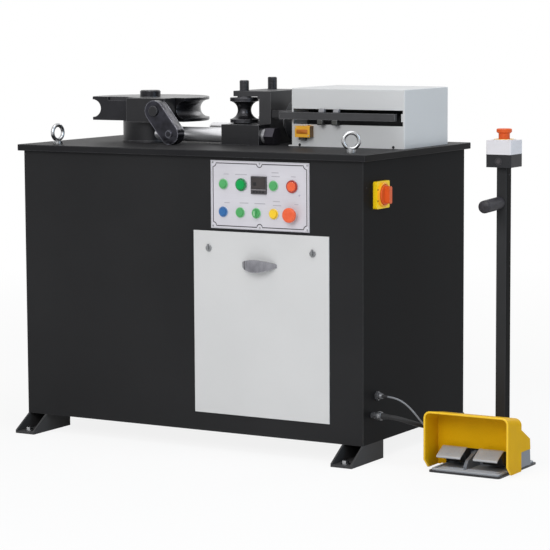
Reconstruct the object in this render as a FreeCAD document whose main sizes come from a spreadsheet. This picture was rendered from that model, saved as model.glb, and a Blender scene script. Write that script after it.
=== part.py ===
import FreeCAD, Part
import math
import os
import re
import Sketcher
from FreeCAD import Placement, Rotation, Vector

# Floor-standing rotary tube bender: cabinet and table, powered bending die with a swing-up
# clamp arm, sliding two-roller carriage pushed by a cylinder, control panel, main switch,
# and a double foot switch with a post that carries the stop button.
# Millimetres. Z is up, the front faces -Y, and the origin is under the middle of the machine.

doc = FreeCAD.newDocument("tube_bender")
sizes = doc.addObject("Spreadsheet::Sheet", "sizes")
places = doc.addObject("Spreadsheet::Sheet", "places")

driving = {
    # cabinet, table and feet
    "cabinet_wide": 1100,
    "cabinet_deep": 610,
    "cabinet_high": 760,
    "sheet_wall": 3,
    "table_thick": 18,
    "table_over": 14,
    "table_round": 1.5,
    "foot_wide": 64,
    "foot_long": 180,
    "foot_high": 50,
    "foot_out": 64,
    "foot_plate": 6,
    "foot_cheek": 5,
    "foot_toe": 9,
    "foot_bolt_set": 26,
    "foot_bolt_flats": 18,
    "foot_bolt_head": 8,
    "foot_bolt_shank": 12,
    "foot_washer": 26,
    "washer_thick": 2.5,
    "hole_play": 0.3,
    # lifting eyes
    "eye_in": 69,
    "eye_right_in": 72,
    "eye_ring": 21,
    "eye_bar": 5.5,
    "eye_collar": 14,
    "eye_collar_high": 7,
    "eye_shank": 12,
    "eye_sink": 2,
    "front_left_eye_turn": 82,
    "front_right_eye_turn": 30,
    "rear_left_eye_turn": 30,
    "rear_right_eye_turn": -20,
    # spindle, housing and bending die
    "die_from_left": 235,
    "die_from_front": 302,
    "housing_radius": 80,
    "housing_high": 60,
    "housing_flange": 82,
    "housing_flange_high": 4,
    "housing_spigot": 62,
    "spindle_radius": 25,
    "spindle_key": 14,
    "spindle_key_out": 4,
    "spindle_key_in": 4,
    "spindle_end_up": 5,
    "shaft_edge": 2,
    "running_fit": 0.05,
    "die_gap": 0.5,
    "die_radius": 172,
    "die_high": 68.5,
    "die_edge": 1.5,
    "tube_radius": 25.4,
    "groove_play": 0.25,
    "die_flat": 65,
    "notch_before": 105,
    "notch_long": 68,
    "notch_deep": 11,
    "nut_radius": 30,
    "nut_high": 18.5,
    "nut_edge": 3,
    "nut_cap": 5.5,
    # clamp block and swing-up arm
    "block_before": 2,
    "block_wide": 131,
    "block_deep": 60,
    "block_edge": 2,
    "pivot_from_block": 118,
    "pivot_radius": 12,
    "pivot_head": 15,
    "pivot_head_high": 5,
    "pivot_in_block": 40,
    "arm_thick": 35,
    "arm_round": 30,
    "arm_reach": 82,
    "arm_rest_gap": 0.5,
    "arm_stud": 10,
    "arm_stud_out": 4,
    "pivot_head_edge": 1.5,
    "side_gap": 0.3,
    # guide rods, roller carriage and its rod blocks
    "rod_radius": 21,
    "rod_high": 25,
    "rod_from_front": 263,
    "rod_apart": 260,
    "rod_seat": 32,
    "rod_end": 685,
    "rod_nut_flats": 46,
    "rod_nut_long": 30,
    "rear_rod_start": 303,
    "rod_nose": 14,
    "rod_holder_long": 45,
    "rod_holder_wide": 54,
    "rod_holder_over": 6,
    "holder_tongue": 60,
    "rod_block_deep": 67,
    "rod_block_high": 57,
    "slide_gap": 0.5,
    "slide_fit": 0.06,
    "carriage_from_left": 522,
    "carriage_wide": 123,
    "column_thick": 38,
    "top_arm_thick": 15.4,
    "inner_corner": 8,
    "roller_in": 26,
    "roller_apart": 158,
    "roller_radius": 41,
    "roller_groove_centre": 45,
    "roller_high": 72,
    "roller_edge": 1,
    "roller_collar": 20,
    "roller_collar_high": 3,
    "pin_radius": 13.5,
    "pin_in_jaw": 34,
    "front_pin_out": 30,
    "rear_pin_out": 35,
    "pin_edge": 2,
    # cylinder with its white cover
    "cylinder_high": 63,
    "head_from_left": 665,
    "head_radius": 57.5,
    "head_long": 76,
    "head_edge": 3,
    "head_back_edge": 2,
    "gland_long": 56,
    "barrel_cap": 12,
    "barrel_radius": 52,
    "barrel_wall": 8,
    "barrel_long": 310,
    "piston_rod_radius": 28,
    "piston_from_end": 240,
    "piston_long": 40,
    "cover_from_left": 740,
    "cover_from_front": 250,
    "cover_wide": 355,
    "cover_deep": 265,
    "cover_high": 162,
    "cover_wall": 2,
    "cover_corner": 3,
    "slot_in": 6,
    "slot_up": 62,
    "slot_high": 43,
    "mount_plate": 3,
    "mount_lip": 11,
    "mount_turn_up": 16,
    "saddle_long": 34,
    "saddle_in": 20,
    "rear_saddle_in": 110,
    "saddle_half_wide": 41.6,
    "saddle_below_axis": 24,
    # trip rail, dogs and limit switch
    "rail_from_left": 713,
    "rail_long": 362,
    "rail_front": 228,
    "rail_thick": 12,
    "rail_up": 76,
    "rail_high": 20,
    "bracket_back": 84,
    "dog_wide": 18,
    "dog_up": 61,
    "dog_high": 43,
    "dog_deep": 21,
    "dog_out": 6,
    "first_dog": 129,
    "dog_pitch": 46,
    "dog_to_plunger": 40,
    "switch_from_left": 763,
    "switch_wide": 48,
    "switch_up": 27,
    "switch_high": 31,
    "switch_deep": 24,
    "switch_boss": 11,
    "switch_boss_high": 7,
    "switch_nose": 7,
    "switch_nose_high": 1.2,
    "plunger_in": 10,
    "plunger_radius": 4,
    "plunger_edge": 1.5,
    "switch_corner": 3,
    "switch_post_share": 0.4,
    # door with its handle and quarter-turn locks
    "door_from_left": 574,
    "door_up": 52,
    "door_wide": 425,
    "door_above": 8,
    "door_thick": 3,
    "door_gap": 0.3,
    "opening_side": 71,
    "opening_low": 24,
    "opening_top": 72,
    "lock_side": 49,
    "lock_down": 48,
    "lock_head": 9,
    "lock_head_high": 4,
    "lock_stem": 5,
    "lock_stem_long": 14,
    "lock_hole": 8,
    "lock_wing_thick": 4,
    "lock_wing_out": 3,
    "lock_wing_low": 5,
    "lock_wing_long": 17,
    "handle_down": 87,
    "handle_from_left": 210,
    "handle_long": 110,
    "handle_out": 32,
    "handle_thick": 5,
    "handle_high": 34,
    "handle_tip": 62,
    # control panel
    "panel_from_left": 630,
    "panel_drop": 195,
    "panel_wide": 309,
    "panel_high": 186,
    "panel_thick": 2,
    "panel_in": 14,
    "upper_row": 122,
    "lower_row": 46,
    "button_radius": 11,
    "button_out": 8,
    "button_back": 26,
    "button_edge": 1,
    "bezel_seat": 0.5,
    "bezel_edge": 1,
    "bezel_radius": 14.3,
    "bezel_high": 3,
    "large_bezel": 17.5,
    "large_bezel_high": 6,
    "large_button": 13,
    "knob_bar": 7,
    "knob_bar_long": 20,
    "knob_out": 15,
    "mushroom_radius": 20,
    "mushroom_high": 10,
    "mushroom_out": 24,
    "mushroom_edge": 4,
    "mushroom_crown": 3,
    "large_button_more": 2,
    "left_green_at": 42,
    "large_green_at": 99,
    "instrument_at": 154,
    "right_green_at": 200,
    "red_at": 258,
    "blue_at": 41,
    "green_at": 95,
    "selector_at": 146,
    "yellow_at": 200,
    "mushroom_at": 257,
    "instrument_face": 48,
    "instrument_case": 44.6,
    "instrument_out": 5,
    "instrument_back": 60,
    "screen_in": 3,
    "screen_up": 13,
    "screen_deep": 1.2,
    # main switch and cable glands on the right wall
    "main_from_front": 57,
    "main_drop": 130,
    "main_size": 73,
    "main_thick": 11.5,
    "main_corner": 5,
    "main_collar": 31.5,
    "main_collar_high": 2.5,
    "main_knob": 27,
    "main_knob_high": 6,
    "main_grip_wide": 15,
    "main_grip_long": 46,
    "main_out": 20,
    "main_shaft": 5,
    "main_shaft_in": 8,
    "main_grip_round": 5,
    "upper_gland_from_front": 77,
    "upper_gland_up": 126,
    "lower_gland_from_front": 50,
    "lower_gland_up": 77,
    "gland_flats": 22,
    "gland_hex": 7,
    "gland_dome": 9,
    "gland_dome_high": 11,
    "gland_dome_straight": 5,
    "gland_dome_edge": 2,
    "lower_nut_flats": 15,
    "lower_nut_long": 9,
    "lower_neck": 6.5,
    "lower_ring_at": 16,
    "lower_ring": 11.5,
    "lower_ring_edge": 1,
    "lower_gland_reach": 31,
    "cable_wide": 5,
    "conduit_wide": 12.5,
    # foot switch
    "pedal_gap": 173,
    "hood_wide": 244,
    "pedal_from_front": 2,
    "base_wide": 205,
    "base_deep": 236,
    "base_thick": 5,
    "tray_in": 5,
    "tray_thick": 3,
    "base_corner": 8,
    "hood_lip": 12,
    "hood_lip_low": 30,
    "hood_high": 159,
    "hood_cowl_back": 94,
    "hood_cowl_high": 146,
    "hood_round": 18,
    "hood_wall": 5,
    "hood_toe": 34,
    "hood_low": 6.3,
    "hood_step": 12,
    "hood_shoulder": 127,
    "hood_tail": 175,
    "hood_tail_high": 79,
    "hood_tail_low": 51.3,
    "hood_tail_lean": 3,
    "hood_join": 20,
    "hood_under": 60,
    "hood_apron": 56,
    "body_in": 16,
    "body_high": 51,
    "body_front": 116,
    "body_back": 184,
    "fin_front": 34,
    "fin_aside": 12,
    "fin_thick": 9,
    "fin_slope": 72,
    "fin_chin": 12,
    "fin_chin_down": 20,
    "fin_chin_up": 9,
    "body_lean": 4,
    "ear_thick": 6,
    "ear_front": 92,
    "pedal_axis_in": 102,
    "pedal_axis_high": 41,
    "pedal_pin": 4,
    "pedal_wide": 70,
    "pedals_aside": 3,
    "pedal_long": 85,
    "pedal_apart": 106,
    "pedal_front": 24,
    "pedal_front_high": 42.5,
    "pedal_back_high": 52.5,
    "pedal_side": 15,
    "pedal_plate": 4,
    "pedal_wall": 4,
    "pedal_ribs": 9,
    "rib_high": 1.2,
    "rib_thick": 4,
    "rib_in": 3,
    "rib_slope": 1,
    "rib_margin": 2,
    "heel_down": 9,
    "heel_low": 13,
    "heel_long": 16,
    "cord_boss": 9,
    "cord_boss_out": 6,
    "cable_entry_back": 170,
    "cable_entry_up": 36,
    "conduit_entry_up": 62,
    # stop-button post with its grip
    "post_side": 30,
    "post_wall": 2,
    "post_corner": 3,
    "post_aside": 10,
    "post_back": 218,
    "post_high": 792,
    "box_side": 72,
    "box_high": 34,
    "lid_high": 37,
    "box_corner": 3,
    "ring_radius": 30,
    "ring_high": 2,
    "stop_stem": 15,
    "stop_brim": 20.5,
    "stop_high": 30,
    "stop_brim_high": 9,
    "stop_in": 14,
    "stop_room": 8,
    "stop_neck": 4,
    "stop_edge": 2,
    "grip_up": 690,
    "grip_radius": 18,
    "grip_long": 96,
    "grip_collar": 12,
    "grip_collar_long": 8,
    "grip_round": 12,
    "grip_step": 3,
    # inside the cabinet
    "gear_side": 210,
    "gear_high": 150,
    "motor_radius": 52,
    "motor_long": 170,
    "tank_long": 420,
    "tank_deep": 330,
    "tank_high": 230,
    "tank_right": 60,
    "tank_back": 40,
    "pump_at": 0.3,
    "valves_at": 0.6,
    "pump_radius": 80,
    "pump_high": 220,
    "valve_long": 130,
    "valve_deep": 90,
    "valve_high": 110,
}

worked_out = {
    "whole_wide": "table_over + cabinet_wide + pedal_gap + hood_wide",
    "left_wall": "table_over - whole_wide / 2",
    "right_wall": "left_wall + cabinet_wide",
    "front_wall": "0 - cabinet_deep / 2",
    "back_wall": "cabinet_deep / 2",
    "cabinet_top": "foot_high + cabinet_high",
    "table_top": "cabinet_top + table_thick",
    "die_x": "left_wall + die_from_left",
    "die_y": "front_wall + die_from_front",
    "housing_top": "table_top + housing_high",
    "die_low": "housing_top + die_gap",
    "die_top": "die_low + die_high",
    "tube_z": "die_low + die_high / 2",
    "flat_y": "die_y - die_flat",
    "block_left": "die_x - block_before",
    "block_front": "flat_y - block_deep",
    "arm_back": "block_front - side_gap",
    "arm_front": "arm_back - arm_thick",
    "pivot_x": "block_left + pivot_from_block",
    "arm_hang": "asin((tube_z - table_top - arm_round - arm_rest_gap) / arm_reach)",
    "rod_z": "table_top + rod_high",
    "front_rod_y": "front_wall + rod_from_front",
    "rear_rod_y": "front_rod_y + rod_apart",
    "press_y": "front_rod_y + rod_apart / 2",
    "rod_stop": "left_wall + rod_end",
    "carriage_left": "left_wall + carriage_from_left",
    "carriage_right": "carriage_left + carriage_wide",
    "carriage_low": "table_top + slide_gap",
    "frame_front": "front_rod_y + rod_block_deep / 2",
    "frame_back": "rear_rod_y - rod_block_deep / 2",
    "roller_low": "tube_z - roller_high / 2",
    "jaw_top": "roller_low - side_gap",
    "arm_low": "roller_low + roller_high + roller_collar_high + side_gap",
    "arm_top": "arm_low + top_arm_thick",
    "roller_x": "carriage_left + roller_in",
    "front_roller_y": "press_y - roller_apart / 2",
    "rear_roller_y": "press_y + roller_apart / 2",
    "cylinder_z": "table_top + cylinder_high",
    "head_left": "left_wall + head_from_left",
    "cover_left": "left_wall + cover_from_left",
    "cover_front": "front_wall + cover_from_front",
    "mount_left": "cover_left - mount_lip",
    "rail_left": "left_wall + rail_from_left",
    "rail_y": "front_wall + rail_front",
    "rail_z": "table_top + rail_up",
    "switch_left": "left_wall + switch_from_left",
    "switch_z": "table_top + switch_up",
    "plunger_x": "rail_left + first_dog - dog_to_plunger",
    "door_left": "left_wall + door_from_left",
    "door_low": "foot_high + door_up",
    "door_front": "front_wall - door_gap - door_thick",
    "panel_left": "left_wall + panel_from_left",
    "panel_low": "cabinet_top - panel_drop",
    "door_high": "panel_low - door_above - door_low",
    "panel_front": "front_wall - panel_thick",
    "main_y": "front_wall + main_from_front + main_size / 2",
    "main_z": "cabinet_top - main_drop + main_size / 2",
    "main_face": "main_thick + main_collar_high + side_gap",
    "pedal_x": "right_wall + pedal_gap + hood_wide / 2",
    "pedal_y": "front_wall + pedal_from_front",
    "tray_top": "base_thick + tray_thick",
    "post_x": "pedal_x + post_aside",
    "post_y": "pedal_y + post_back",
    "lid_low": "post_high + box_high",
    "lid_top": "lid_low + lid_high",
    "pedal_axis_y": "pedal_y + pedal_axis_in",
}


# Names in a formula become links to the cells that hold them.
def link(formula, inside_places=False):
    def cell_name(found):
        word = found.group(0)
        if word in driving:
            return "sizes." + word
        if word in worked_out and not inside_places:
            return "places." + word
        return word
    return re.sub(r"[a-z][a-z_]*", cell_name, str(formula))


def fill_sheet(sheet, cells, as_formula):
    for row, (name, entry) in enumerate(cells.items(), start=1):
        cell = "A%d" % row
        sheet.set(cell, "=" + link(entry, True) if as_formula else str(entry))
        sheet.setAlias(cell, name)


fill_sheet(sizes, driving, False)
doc.recompute()
fill_sheet(places, worked_out, True)
doc.recompute()


def number(formula):
    found = sizes.evalExpression(link(formula))
    return float(getattr(found, "Value", found))


def bind(item, **formulas):
    for name, formula in formulas.items():
        item.setExpression(name, link(formula))


def put(item, at, turn=None):
    if turn:
        item.Placement = Placement(Vector(), turn)
    for letter, formula in zip("xyz", at):
        item.setExpression("Placement.Base." + letter, link(formula))
    return item


along_x = Rotation(Vector(0, 1, 0), 90)
along_y = Rotation(Vector(1, 0, 0), -90)
facing_front = Rotation(Vector(1, 0, 0), 90)


def box(name, at, size):
    item = doc.addObject("Part::Box", name)
    bind(item, Length=size[0], Width=size[1], Height=size[2])
    return put(item, at)


def cylinder(name, at, radius, length, turn=None):
    item = doc.addObject("Part::Cylinder", name)
    bind(item, Radius=radius, Height=length)
    return put(item, at, turn)


def hexagon(name, at, flats, length, turn=None):
    item = doc.addObject("Part::Prism", name)
    item.Polygon = 6
    bind(item, Circumradius="(%s) / sqrt(3)" % flats, Height=length)
    return put(item, at, turn)


def ring(name, at, radius, bar, turn=None):
    item = doc.addObject("Part::Torus", name)
    bind(item, Radius1=radius, Radius2=bar)
    return put(item, at, turn)


def joined(name, pieces):
    item = doc.addObject("Part::MultiFuse", name)
    item.Shapes = pieces
    item.Refine = True
    return item


def cut(name, base, *tools):
    item = doc.addObject("Part::Cut", name)
    item.Base = base
    item.Tool = tools[0] if len(tools) == 1 else joined(name + "_cutter", list(tools))
    item.Refine = True
    return item


def group(name, pieces):
    item = doc.addObject("Part::Compound", name)
    item.Links = pieces
    return item


def rounded(name, base, radius, wanted, bevel=False):
    doc.recompute()
    item = doc.addObject("Part::Chamfer" if bevel else "Part::Fillet", name)
    item.Base = base
    size = number(radius)
    edges = [index for index, edge in enumerate(base.Shape.Edges, start=1) if wanted(edge)]
    item.Edges = [(index, size, size) for index in edges]
    return item


def body(name, at, turn=None):
    return put(doc.addObject("PartDesign::Body", name), at, turn)


def sketch_in(owner, plane, offset=None):
    sketch = owner.newObject("Sketcher::SketchObject", owner.Name + "_sketch")
    origin_plane = [item for item in owner.Origin.OriginFeatures if item.Role == plane + "_Plane"]
    sketch.AttachmentSupport = [(origin_plane[0], "")]
    sketch.MapMode = "FlatFace"
    if offset:
        sketch.setExpression("AttachmentOffset.Base.z", link(offset))
    return sketch


def pin_point(sketch, geometry, spot, at):
    for kind, formula in zip(("DistanceX", "DistanceY"), at):
        rule = sketch.addConstraint(Sketcher.Constraint(kind, geometry, spot, number(formula)))
        sketch.setExpression("Constraints[%d]" % rule, link(formula))


def draw_outline(sketch, points):
    corners = [Vector(number(x), number(y), 0) for x, y in points]
    first = sketch.GeometryCount
    count = len(points)
    for index, corner in enumerate(corners):
        sketch.addGeometry(Part.LineSegment(corner, corners[(index + 1) % count]), False)
    for index, point in enumerate(points):
        after = first + (index + 1) % count
        sketch.addConstraint(Sketcher.Constraint("Coincident", first + index, 2, after, 1))
        pin_point(sketch, first + index, 1, point)


def draw_circle(sketch, at, radius):
    centre = Vector(number(at[0]), number(at[1]), 0)
    circle = sketch.addGeometry(Part.Circle(centre, Vector(0, 0, 1), number(radius)), False)
    pin_point(sketch, circle, 3, at)
    rule = sketch.addConstraint(Sketcher.Constraint("Radius", circle, number(radius)))
    sketch.setExpression("Constraints[%d]" % rule, link(radius))


# A pad on the XZ plane grows towards +Y, and on the other planes towards +Z or +X.
def pad(owner, plane, outlines, depth, circles=(), offset=None):
    sketch = sketch_in(owner, plane, offset)
    for points in outlines:
        draw_outline(sketch, points)
    for at, radius in circles:
        draw_circle(sketch, at, radius)
    feature = owner.newObject("PartDesign::Pad", owner.Name + "_pad")
    feature.Profile = sketch
    bind(feature, Length=depth)
    feature.Reversed = plane == "XZ"
    return feature


def pocket(owner, plane, outlines, depth, circles=(), offset=None):
    sketch = sketch_in(owner, plane, offset)
    for points in outlines:
        draw_outline(sketch, points)
    for at, radius in circles:
        draw_circle(sketch, at, radius)
    doc.recompute()
    before = owner.Shape.Volume
    feature = owner.newObject("PartDesign::Pocket", owner.Name + "_pocket")
    feature.Profile = sketch
    bind(feature, Length=depth)
    feature.Reversed = plane != "XZ"
    doc.recompute()
    if owner.Shape.Volume > before - 0.01:
        raise RuntimeError(owner.Name + ": a pocket cut nothing")
    return feature


def revolve(owner, points, groove=False, circle=None):
    sketch = sketch_in(owner, "XZ")
    if circle:
        draw_circle(sketch, *circle)
    else:
        draw_outline(sketch, points)
    kind = "Groove" if groove else "Revolution"
    doc.recompute()
    feature = owner.newObject("PartDesign::" + kind, owner.Name + "_turned")
    feature.Profile = sketch
    feature.ReferenceAxis = (sketch, ["V_Axis"])
    feature.Angle = 360
    return feature


def soften(owner, radius, wanted, bevel=False):
    doc.recompute()
    base = owner.Tip
    names = ["Edge%d" % index for index, edge in enumerate(base.Shape.Edges, start=1)
             if wanted(edge)]
    feature = owner.newObject("PartDesign::Chamfer" if bevel else "PartDesign::Fillet",
                              owner.Name + "_edge")
    feature.Base = (base, names)
    bind(feature, **{"Size" if bevel else "Radius": radius})
    return feature


def rectangle(x, y, wide, high):
    right = "(%s) + (%s)" % (x, wide)
    top = "(%s) + (%s)" % (y, high)
    return [(x, y), (right, y), (right, top), (x, top)]


def runs_along(edge, direction):
    if not isinstance(edge.Curve, Part.Line):
        return False
    return abs(abs(edge.tangentAt(edge.FirstParameter).dot(direction)) - 1) < 1e-6


def is_upright(edge):
    return runs_along(edge, Vector(0, 0, 1))


# Cabinet

def make_cabinet():
    outer = box("cabinet_outer", ("left_wall", "front_wall + sheet_wall", "foot_high"),
                ("cabinet_wide", "cabinet_deep - sheet_wall", "cabinet_high"))
    inner = box("cabinet_inner",
                ("left_wall + sheet_wall", "front_wall + sheet_wall - 1", "foot_high + sheet_wall"),
                ("cabinet_wide - 2 * sheet_wall", "cabinet_deep - 2 * sheet_wall + 1",
                 "cabinet_high"))
    shaft_hole = cylinder("main_shaft_hole", ("right_wall - sheet_wall - 1", "main_y", "main_z"),
                          "main_shaft + hole_play", "sheet_wall + 2", along_x)
    cut("cabinet_shell", outer, inner, shaft_hole)
    sheet = box("front_sheet", ("left_wall", "front_wall", "foot_high"),
                ("cabinet_wide", "sheet_wall", "cabinet_high"))
    doorway = box("doorway",
                  ("door_left + opening_side", "front_wall - 1", "door_low + opening_low"),
                  ("door_wide - 2 * opening_side", "sheet_wall + 2",
                   "door_high - opening_low - opening_top"))
    panel_hole = box("panel_hole",
                     ("panel_left + panel_in", "front_wall - 1", "panel_low + panel_in"),
                     ("panel_wide - 2 * panel_in", "sheet_wall + 2", "panel_high - 2 * panel_in"))
    tools = [doorway, panel_hole]
    for side, x in (("left", "door_left + lock_side"), ("right", "door_left + door_wide - lock_side")):
        tools.append(cylinder(side + "_lock_hole",
                              (x, "front_wall - 1", "door_low + door_high - lock_down"),
                              "lock_hole", "sheet_wall + 2", along_y))
    cut("cabinet_front", sheet, *tools)


def eye_spots():
    left = "left_wall + eye_in"
    right = "right_wall - eye_right_in"
    near = "front_wall + eye_in"
    far = "back_wall - eye_in"
    return [("front_left", left, near), ("front_right", right, near),
            ("rear_left", left, far), ("rear_right", right, far)]


def make_table():
    table = body("table_plate", ("left_wall - table_over", "front_wall - table_over", "cabinet_top"))
    spindle_hole = (("die_from_left + table_over", "die_from_front + table_over"),
                    "housing_spigot + hole_play")
    eye_holes = [(("(%s) - left_wall + table_over" % x, "(%s) - front_wall + table_over" % y),
                  "eye_shank / 2 + hole_play") for corner, x, y in eye_spots()]
    pad(table, "XY", [rectangle("0", "0", "cabinet_wide + 2 * table_over",
                                "cabinet_deep + 2 * table_over")], "table_thick",
        [spindle_hole] + eye_holes)
    soften(table, "table_round", lambda edge: isinstance(edge.Curve, Part.Line), True)


def make_eye_bolts():
    eyes = []
    for corner, x, y in eye_spots():
        name = corner + "_eye"
        centre = "table_top + eye_collar_high + eye_ring + eye_bar - eye_sink"
        loop = ring(name + "_ring", (x, y, centre), "eye_ring", "eye_bar",
                    Rotation(number(name + "_turn"), 0, 90))
        collar = cylinder(name + "_collar", (x, y, "table_top"), "eye_collar", "eye_collar_high")
        shank = cylinder(name + "_shank", (x, y, "cabinet_top"), "eye_shank / 2",
                         "table_thick + eye_collar_high")
        eyes.append(joined(name, [loop, collar, shank]))
    group("eye_bolts", eyes)


def foot_spots():
    left = "left_wall"
    right = "right_wall - foot_wide"
    return [(left, False), (right, False), (left, True), (right, True)]


def make_feet():
    feet = []
    bolts = []
    for index, (x, at_back) in enumerate(foot_spots()):
        toe = "back_wall + foot_out" if at_back else "front_wall - foot_out"
        far = "back_wall + foot_out - foot_long" if at_back else toe
        foot = body("foot_%d" % index, (x, far, "0"))
        profile = [("0", "0"), ("foot_long", "0"), ("foot_long", "foot_high"),
                   ("foot_out", "foot_high"), ("0", "foot_toe")]
        if at_back:
            profile = [("foot_long - (%s)" % y, z) for y, z in profile]
        pad(foot, "YZ", [profile], "foot_wide")
        start = "foot_cheek" if at_back else "-1"
        trough = rectangle("foot_cheek", start, "foot_wide - 2 * foot_cheek",
                           "foot_long - foot_cheek + 1")
        pocket(foot, "XY", [trough], "foot_high", offset="foot_plate")
        bolt_y = "foot_long - foot_bolt_set" if at_back else "foot_bolt_set"
        pocket(foot, "XY", [], "foot_plate + 2", [(("foot_wide / 2", bolt_y),
               "foot_bolt_shank / 2 + hole_play")], "-1")
        feet.append(foot)
        at = ("(%s) + foot_wide / 2" % x, "(%s) + (%s)" % (far, bolt_y))
        name = "foot_bolt_%d" % index
        bolts.append(joined(name, [
            cylinder(name + "_washer", at + ("foot_plate",), "foot_washer / 2", "washer_thick"),
            hexagon(name + "_head", at + ("foot_plate + washer_thick",), "foot_bolt_flats",
                    "foot_bolt_head"),
            cylinder(name + "_shank", at + ("1",), "foot_bolt_shank / 2",
                     "foot_plate + washer_thick")]))
    group("feet", feet)
    group("foot_bolts", bolts)


# Spindle and bending die

def make_spindle_housing():
    housing = body("housing_casting", ("die_x", "die_y", "table_top"))
    revolve(housing, [("spindle_radius + running_fit", "0 - table_thick"),
                      ("housing_spigot", "0 - table_thick"), ("housing_spigot", "0"),
                      ("housing_flange", "0"), ("housing_flange", "housing_flange_high"),
                      ("housing_radius", "housing_flange_high"),
                      ("housing_radius", "housing_high - die_edge"),
                      ("housing_radius - die_edge", "housing_high"),
                      ("spindle_radius + running_fit", "housing_high")])
    seat = cylinder("rod_socket", ("die_x + housing_radius - rod_seat", "front_rod_y", "rod_z"),
                    "rod_radius + running_fit", "housing_radius", along_x)
    cut("spindle_housing", housing, seat)


def make_spindle():
    spindle = body("spindle_shaft", ("die_x", "die_y", "cabinet_top - gear_high"))
    low = "spindle_end_up"
    top = "die_top + nut_high - nut_cap - hole_play - cabinet_top + gear_high"
    revolve(spindle, [("0", low), ("spindle_radius - shaft_edge", low),
                      ("spindle_radius", low + " + shaft_edge"),
                      ("spindle_radius", "(%s) - shaft_edge" % top),
                      ("spindle_radius - shaft_edge", top), ("0", top)])
    key = box("spindle_key", ("die_x - spindle_key / 2", "die_y", "die_low + spindle_key_in"),
              ("spindle_key", "spindle_radius + spindle_key_out", "die_high - 2 * spindle_key_in"))
    joined("spindle", [spindle, key])


def make_die():
    die = body("bending_die", ("die_x", "die_y", "die_low"))
    bore = "spindle_radius + running_fit"
    revolve(die, [(bore, "0"), ("die_radius - die_edge", "0"), ("die_radius", "die_edge"),
                  ("die_radius", "die_high - die_edge"), ("die_radius - die_edge", "die_high"),
                  (bore, "die_high")])
    revolve(die, None, True, (("die_radius", "die_high / 2"), "tube_radius + groove_play"))
    pocket(die, "XY", [rectangle("0 - die_radius", "0 - die_radius - 5", "2 * die_radius",
                                 "die_radius + 5 - die_flat")], "die_high + 2", offset="-1")
    pocket(die, "XY", [rectangle("0 - spindle_key / 2 - running_fit", "0",
                                 "spindle_key + 2 * running_fit",
                                 "spindle_radius + spindle_key_out + hole_play")],
           "die_high + 2", offset="-1")
    pocket(die, "YZ", [[("0 - die_flat - 1", "die_high - notch_deep - 1"),
                        ("0 - die_flat + notch_deep + 1", "die_high + 1"),
                        ("0 - die_flat - 1", "die_high + 1")]], "notch_long",
           offset="0 - notch_before")


def make_die_nut():
    nut = body("die_nut", ("die_x", "die_y", "die_top"))
    bore = "spindle_radius + running_fit"
    revolve(nut, [(bore, "0"), ("nut_radius", "0"), ("nut_radius", "nut_high - nut_edge"),
                  ("nut_radius - nut_edge", "nut_high"), ("0", "nut_high"), ("0", "nut_high - nut_cap"),
                  (bore, "nut_high - nut_cap")])


def make_clamp():
    block = body("clamp_block", ("block_left", "block_front", "die_low"))
    pad(block, "XY", [rectangle("0", "0", "block_wide", "block_deep")], "die_high")
    soften(block, "block_edge", is_upright, True)
    pocket(block, "XZ", [], "pivot_in_block + 1",
           [(("pivot_from_block", "die_high / 2"), "pivot_radius + running_fit")], "1")
    pivot = body("arm_pivot_pin", ("pivot_x", "arm_front - side_gap - pivot_head_high", "tube_z"),
                 along_y)
    length = "pivot_head_high + arm_thick + 2 * side_gap + pivot_in_block"
    revolve(pivot, [("0", "0"), ("pivot_head - pivot_head_edge", "0"),
                    ("pivot_head", "pivot_head_edge"), ("pivot_head", "pivot_head_high"),
                    ("pivot_radius", "pivot_head_high"), ("pivot_radius", length), ("0", length)])
    arm = body("clamp_arm", ("pivot_x", "arm_front", "tube_z"))
    arm.Placement = Placement(Vector(), Rotation(Vector(0, 1, 0), number("arm_hang")))
    arm.setExpression("Placement.Rotation.Angle", link("arm_hang"))
    put(arm, ("pivot_x", "arm_front", "tube_z"))
    pad(arm, "XZ", [rectangle("0", "0 - arm_round", "arm_reach", "2 * arm_round")], "arm_thick")
    for x in ("0", "arm_reach"):
        pad(arm, "XZ", [], "arm_thick", [((x, "0"), "arm_round")])
    pocket(arm, "XZ", [], "arm_thick + 2", [(("0", "0"), "pivot_radius + running_fit")], "1")
    pad(arm, "XZ", [], "arm_stud_out + 1", [(("arm_reach", "0"), "arm_stud")], "arm_stud_out")


# Roller carriage on its guide rods

def make_guide_rods():
    start = "die_x + housing_radius - rod_seat"
    front = cylinder("front_guide_rod", (start, "front_rod_y", "rod_z"), "rod_radius",
                     "rod_stop - (%s)" % start, along_x)
    front_nut = hexagon("front_rod_nut", ("rod_stop - rod_nut_long", "front_rod_y", "rod_z"),
                        "rod_nut_flats", "rod_nut_long", along_x * Rotation(Vector(0, 0, 1), 30))
    rear = body("rear_guide_rod", ("left_wall + rear_rod_start", "rear_rod_y", "rod_z"), along_x)
    length = "mount_left - left_wall - rear_rod_start"
    revolve(rear, [("0", "0"), ("rod_radius", "0"), ("rod_radius", length), ("0", length)])
    soften(rear, "rod_nose", lambda edge: isinstance(edge.Curve, Part.Circle)
           and abs(edge.Vertexes[0].Z) < 0.01)
    group("guide_rods", [joined("front_rod_with_nut", [front, front_nut]), rear])


def make_rod_blocks():
    blocks = []
    for side, y in (("front", "front_rod_y"), ("rear", "rear_rod_y")):
        block = body(side + "_rod_block", ("carriage_left", y, "carriage_low"))
        centre = ("0", "rod_z - carriage_low")
        high = "rod_block_high - slide_gap"
        pad(block, "YZ", [rectangle("0 - rod_block_deep / 2", "0", "rod_block_deep", high)],
            "carriage_wide", [(centre, "rod_radius + slide_fit")])
        blocks.append(block)
    group("rod_blocks", blocks)


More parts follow.
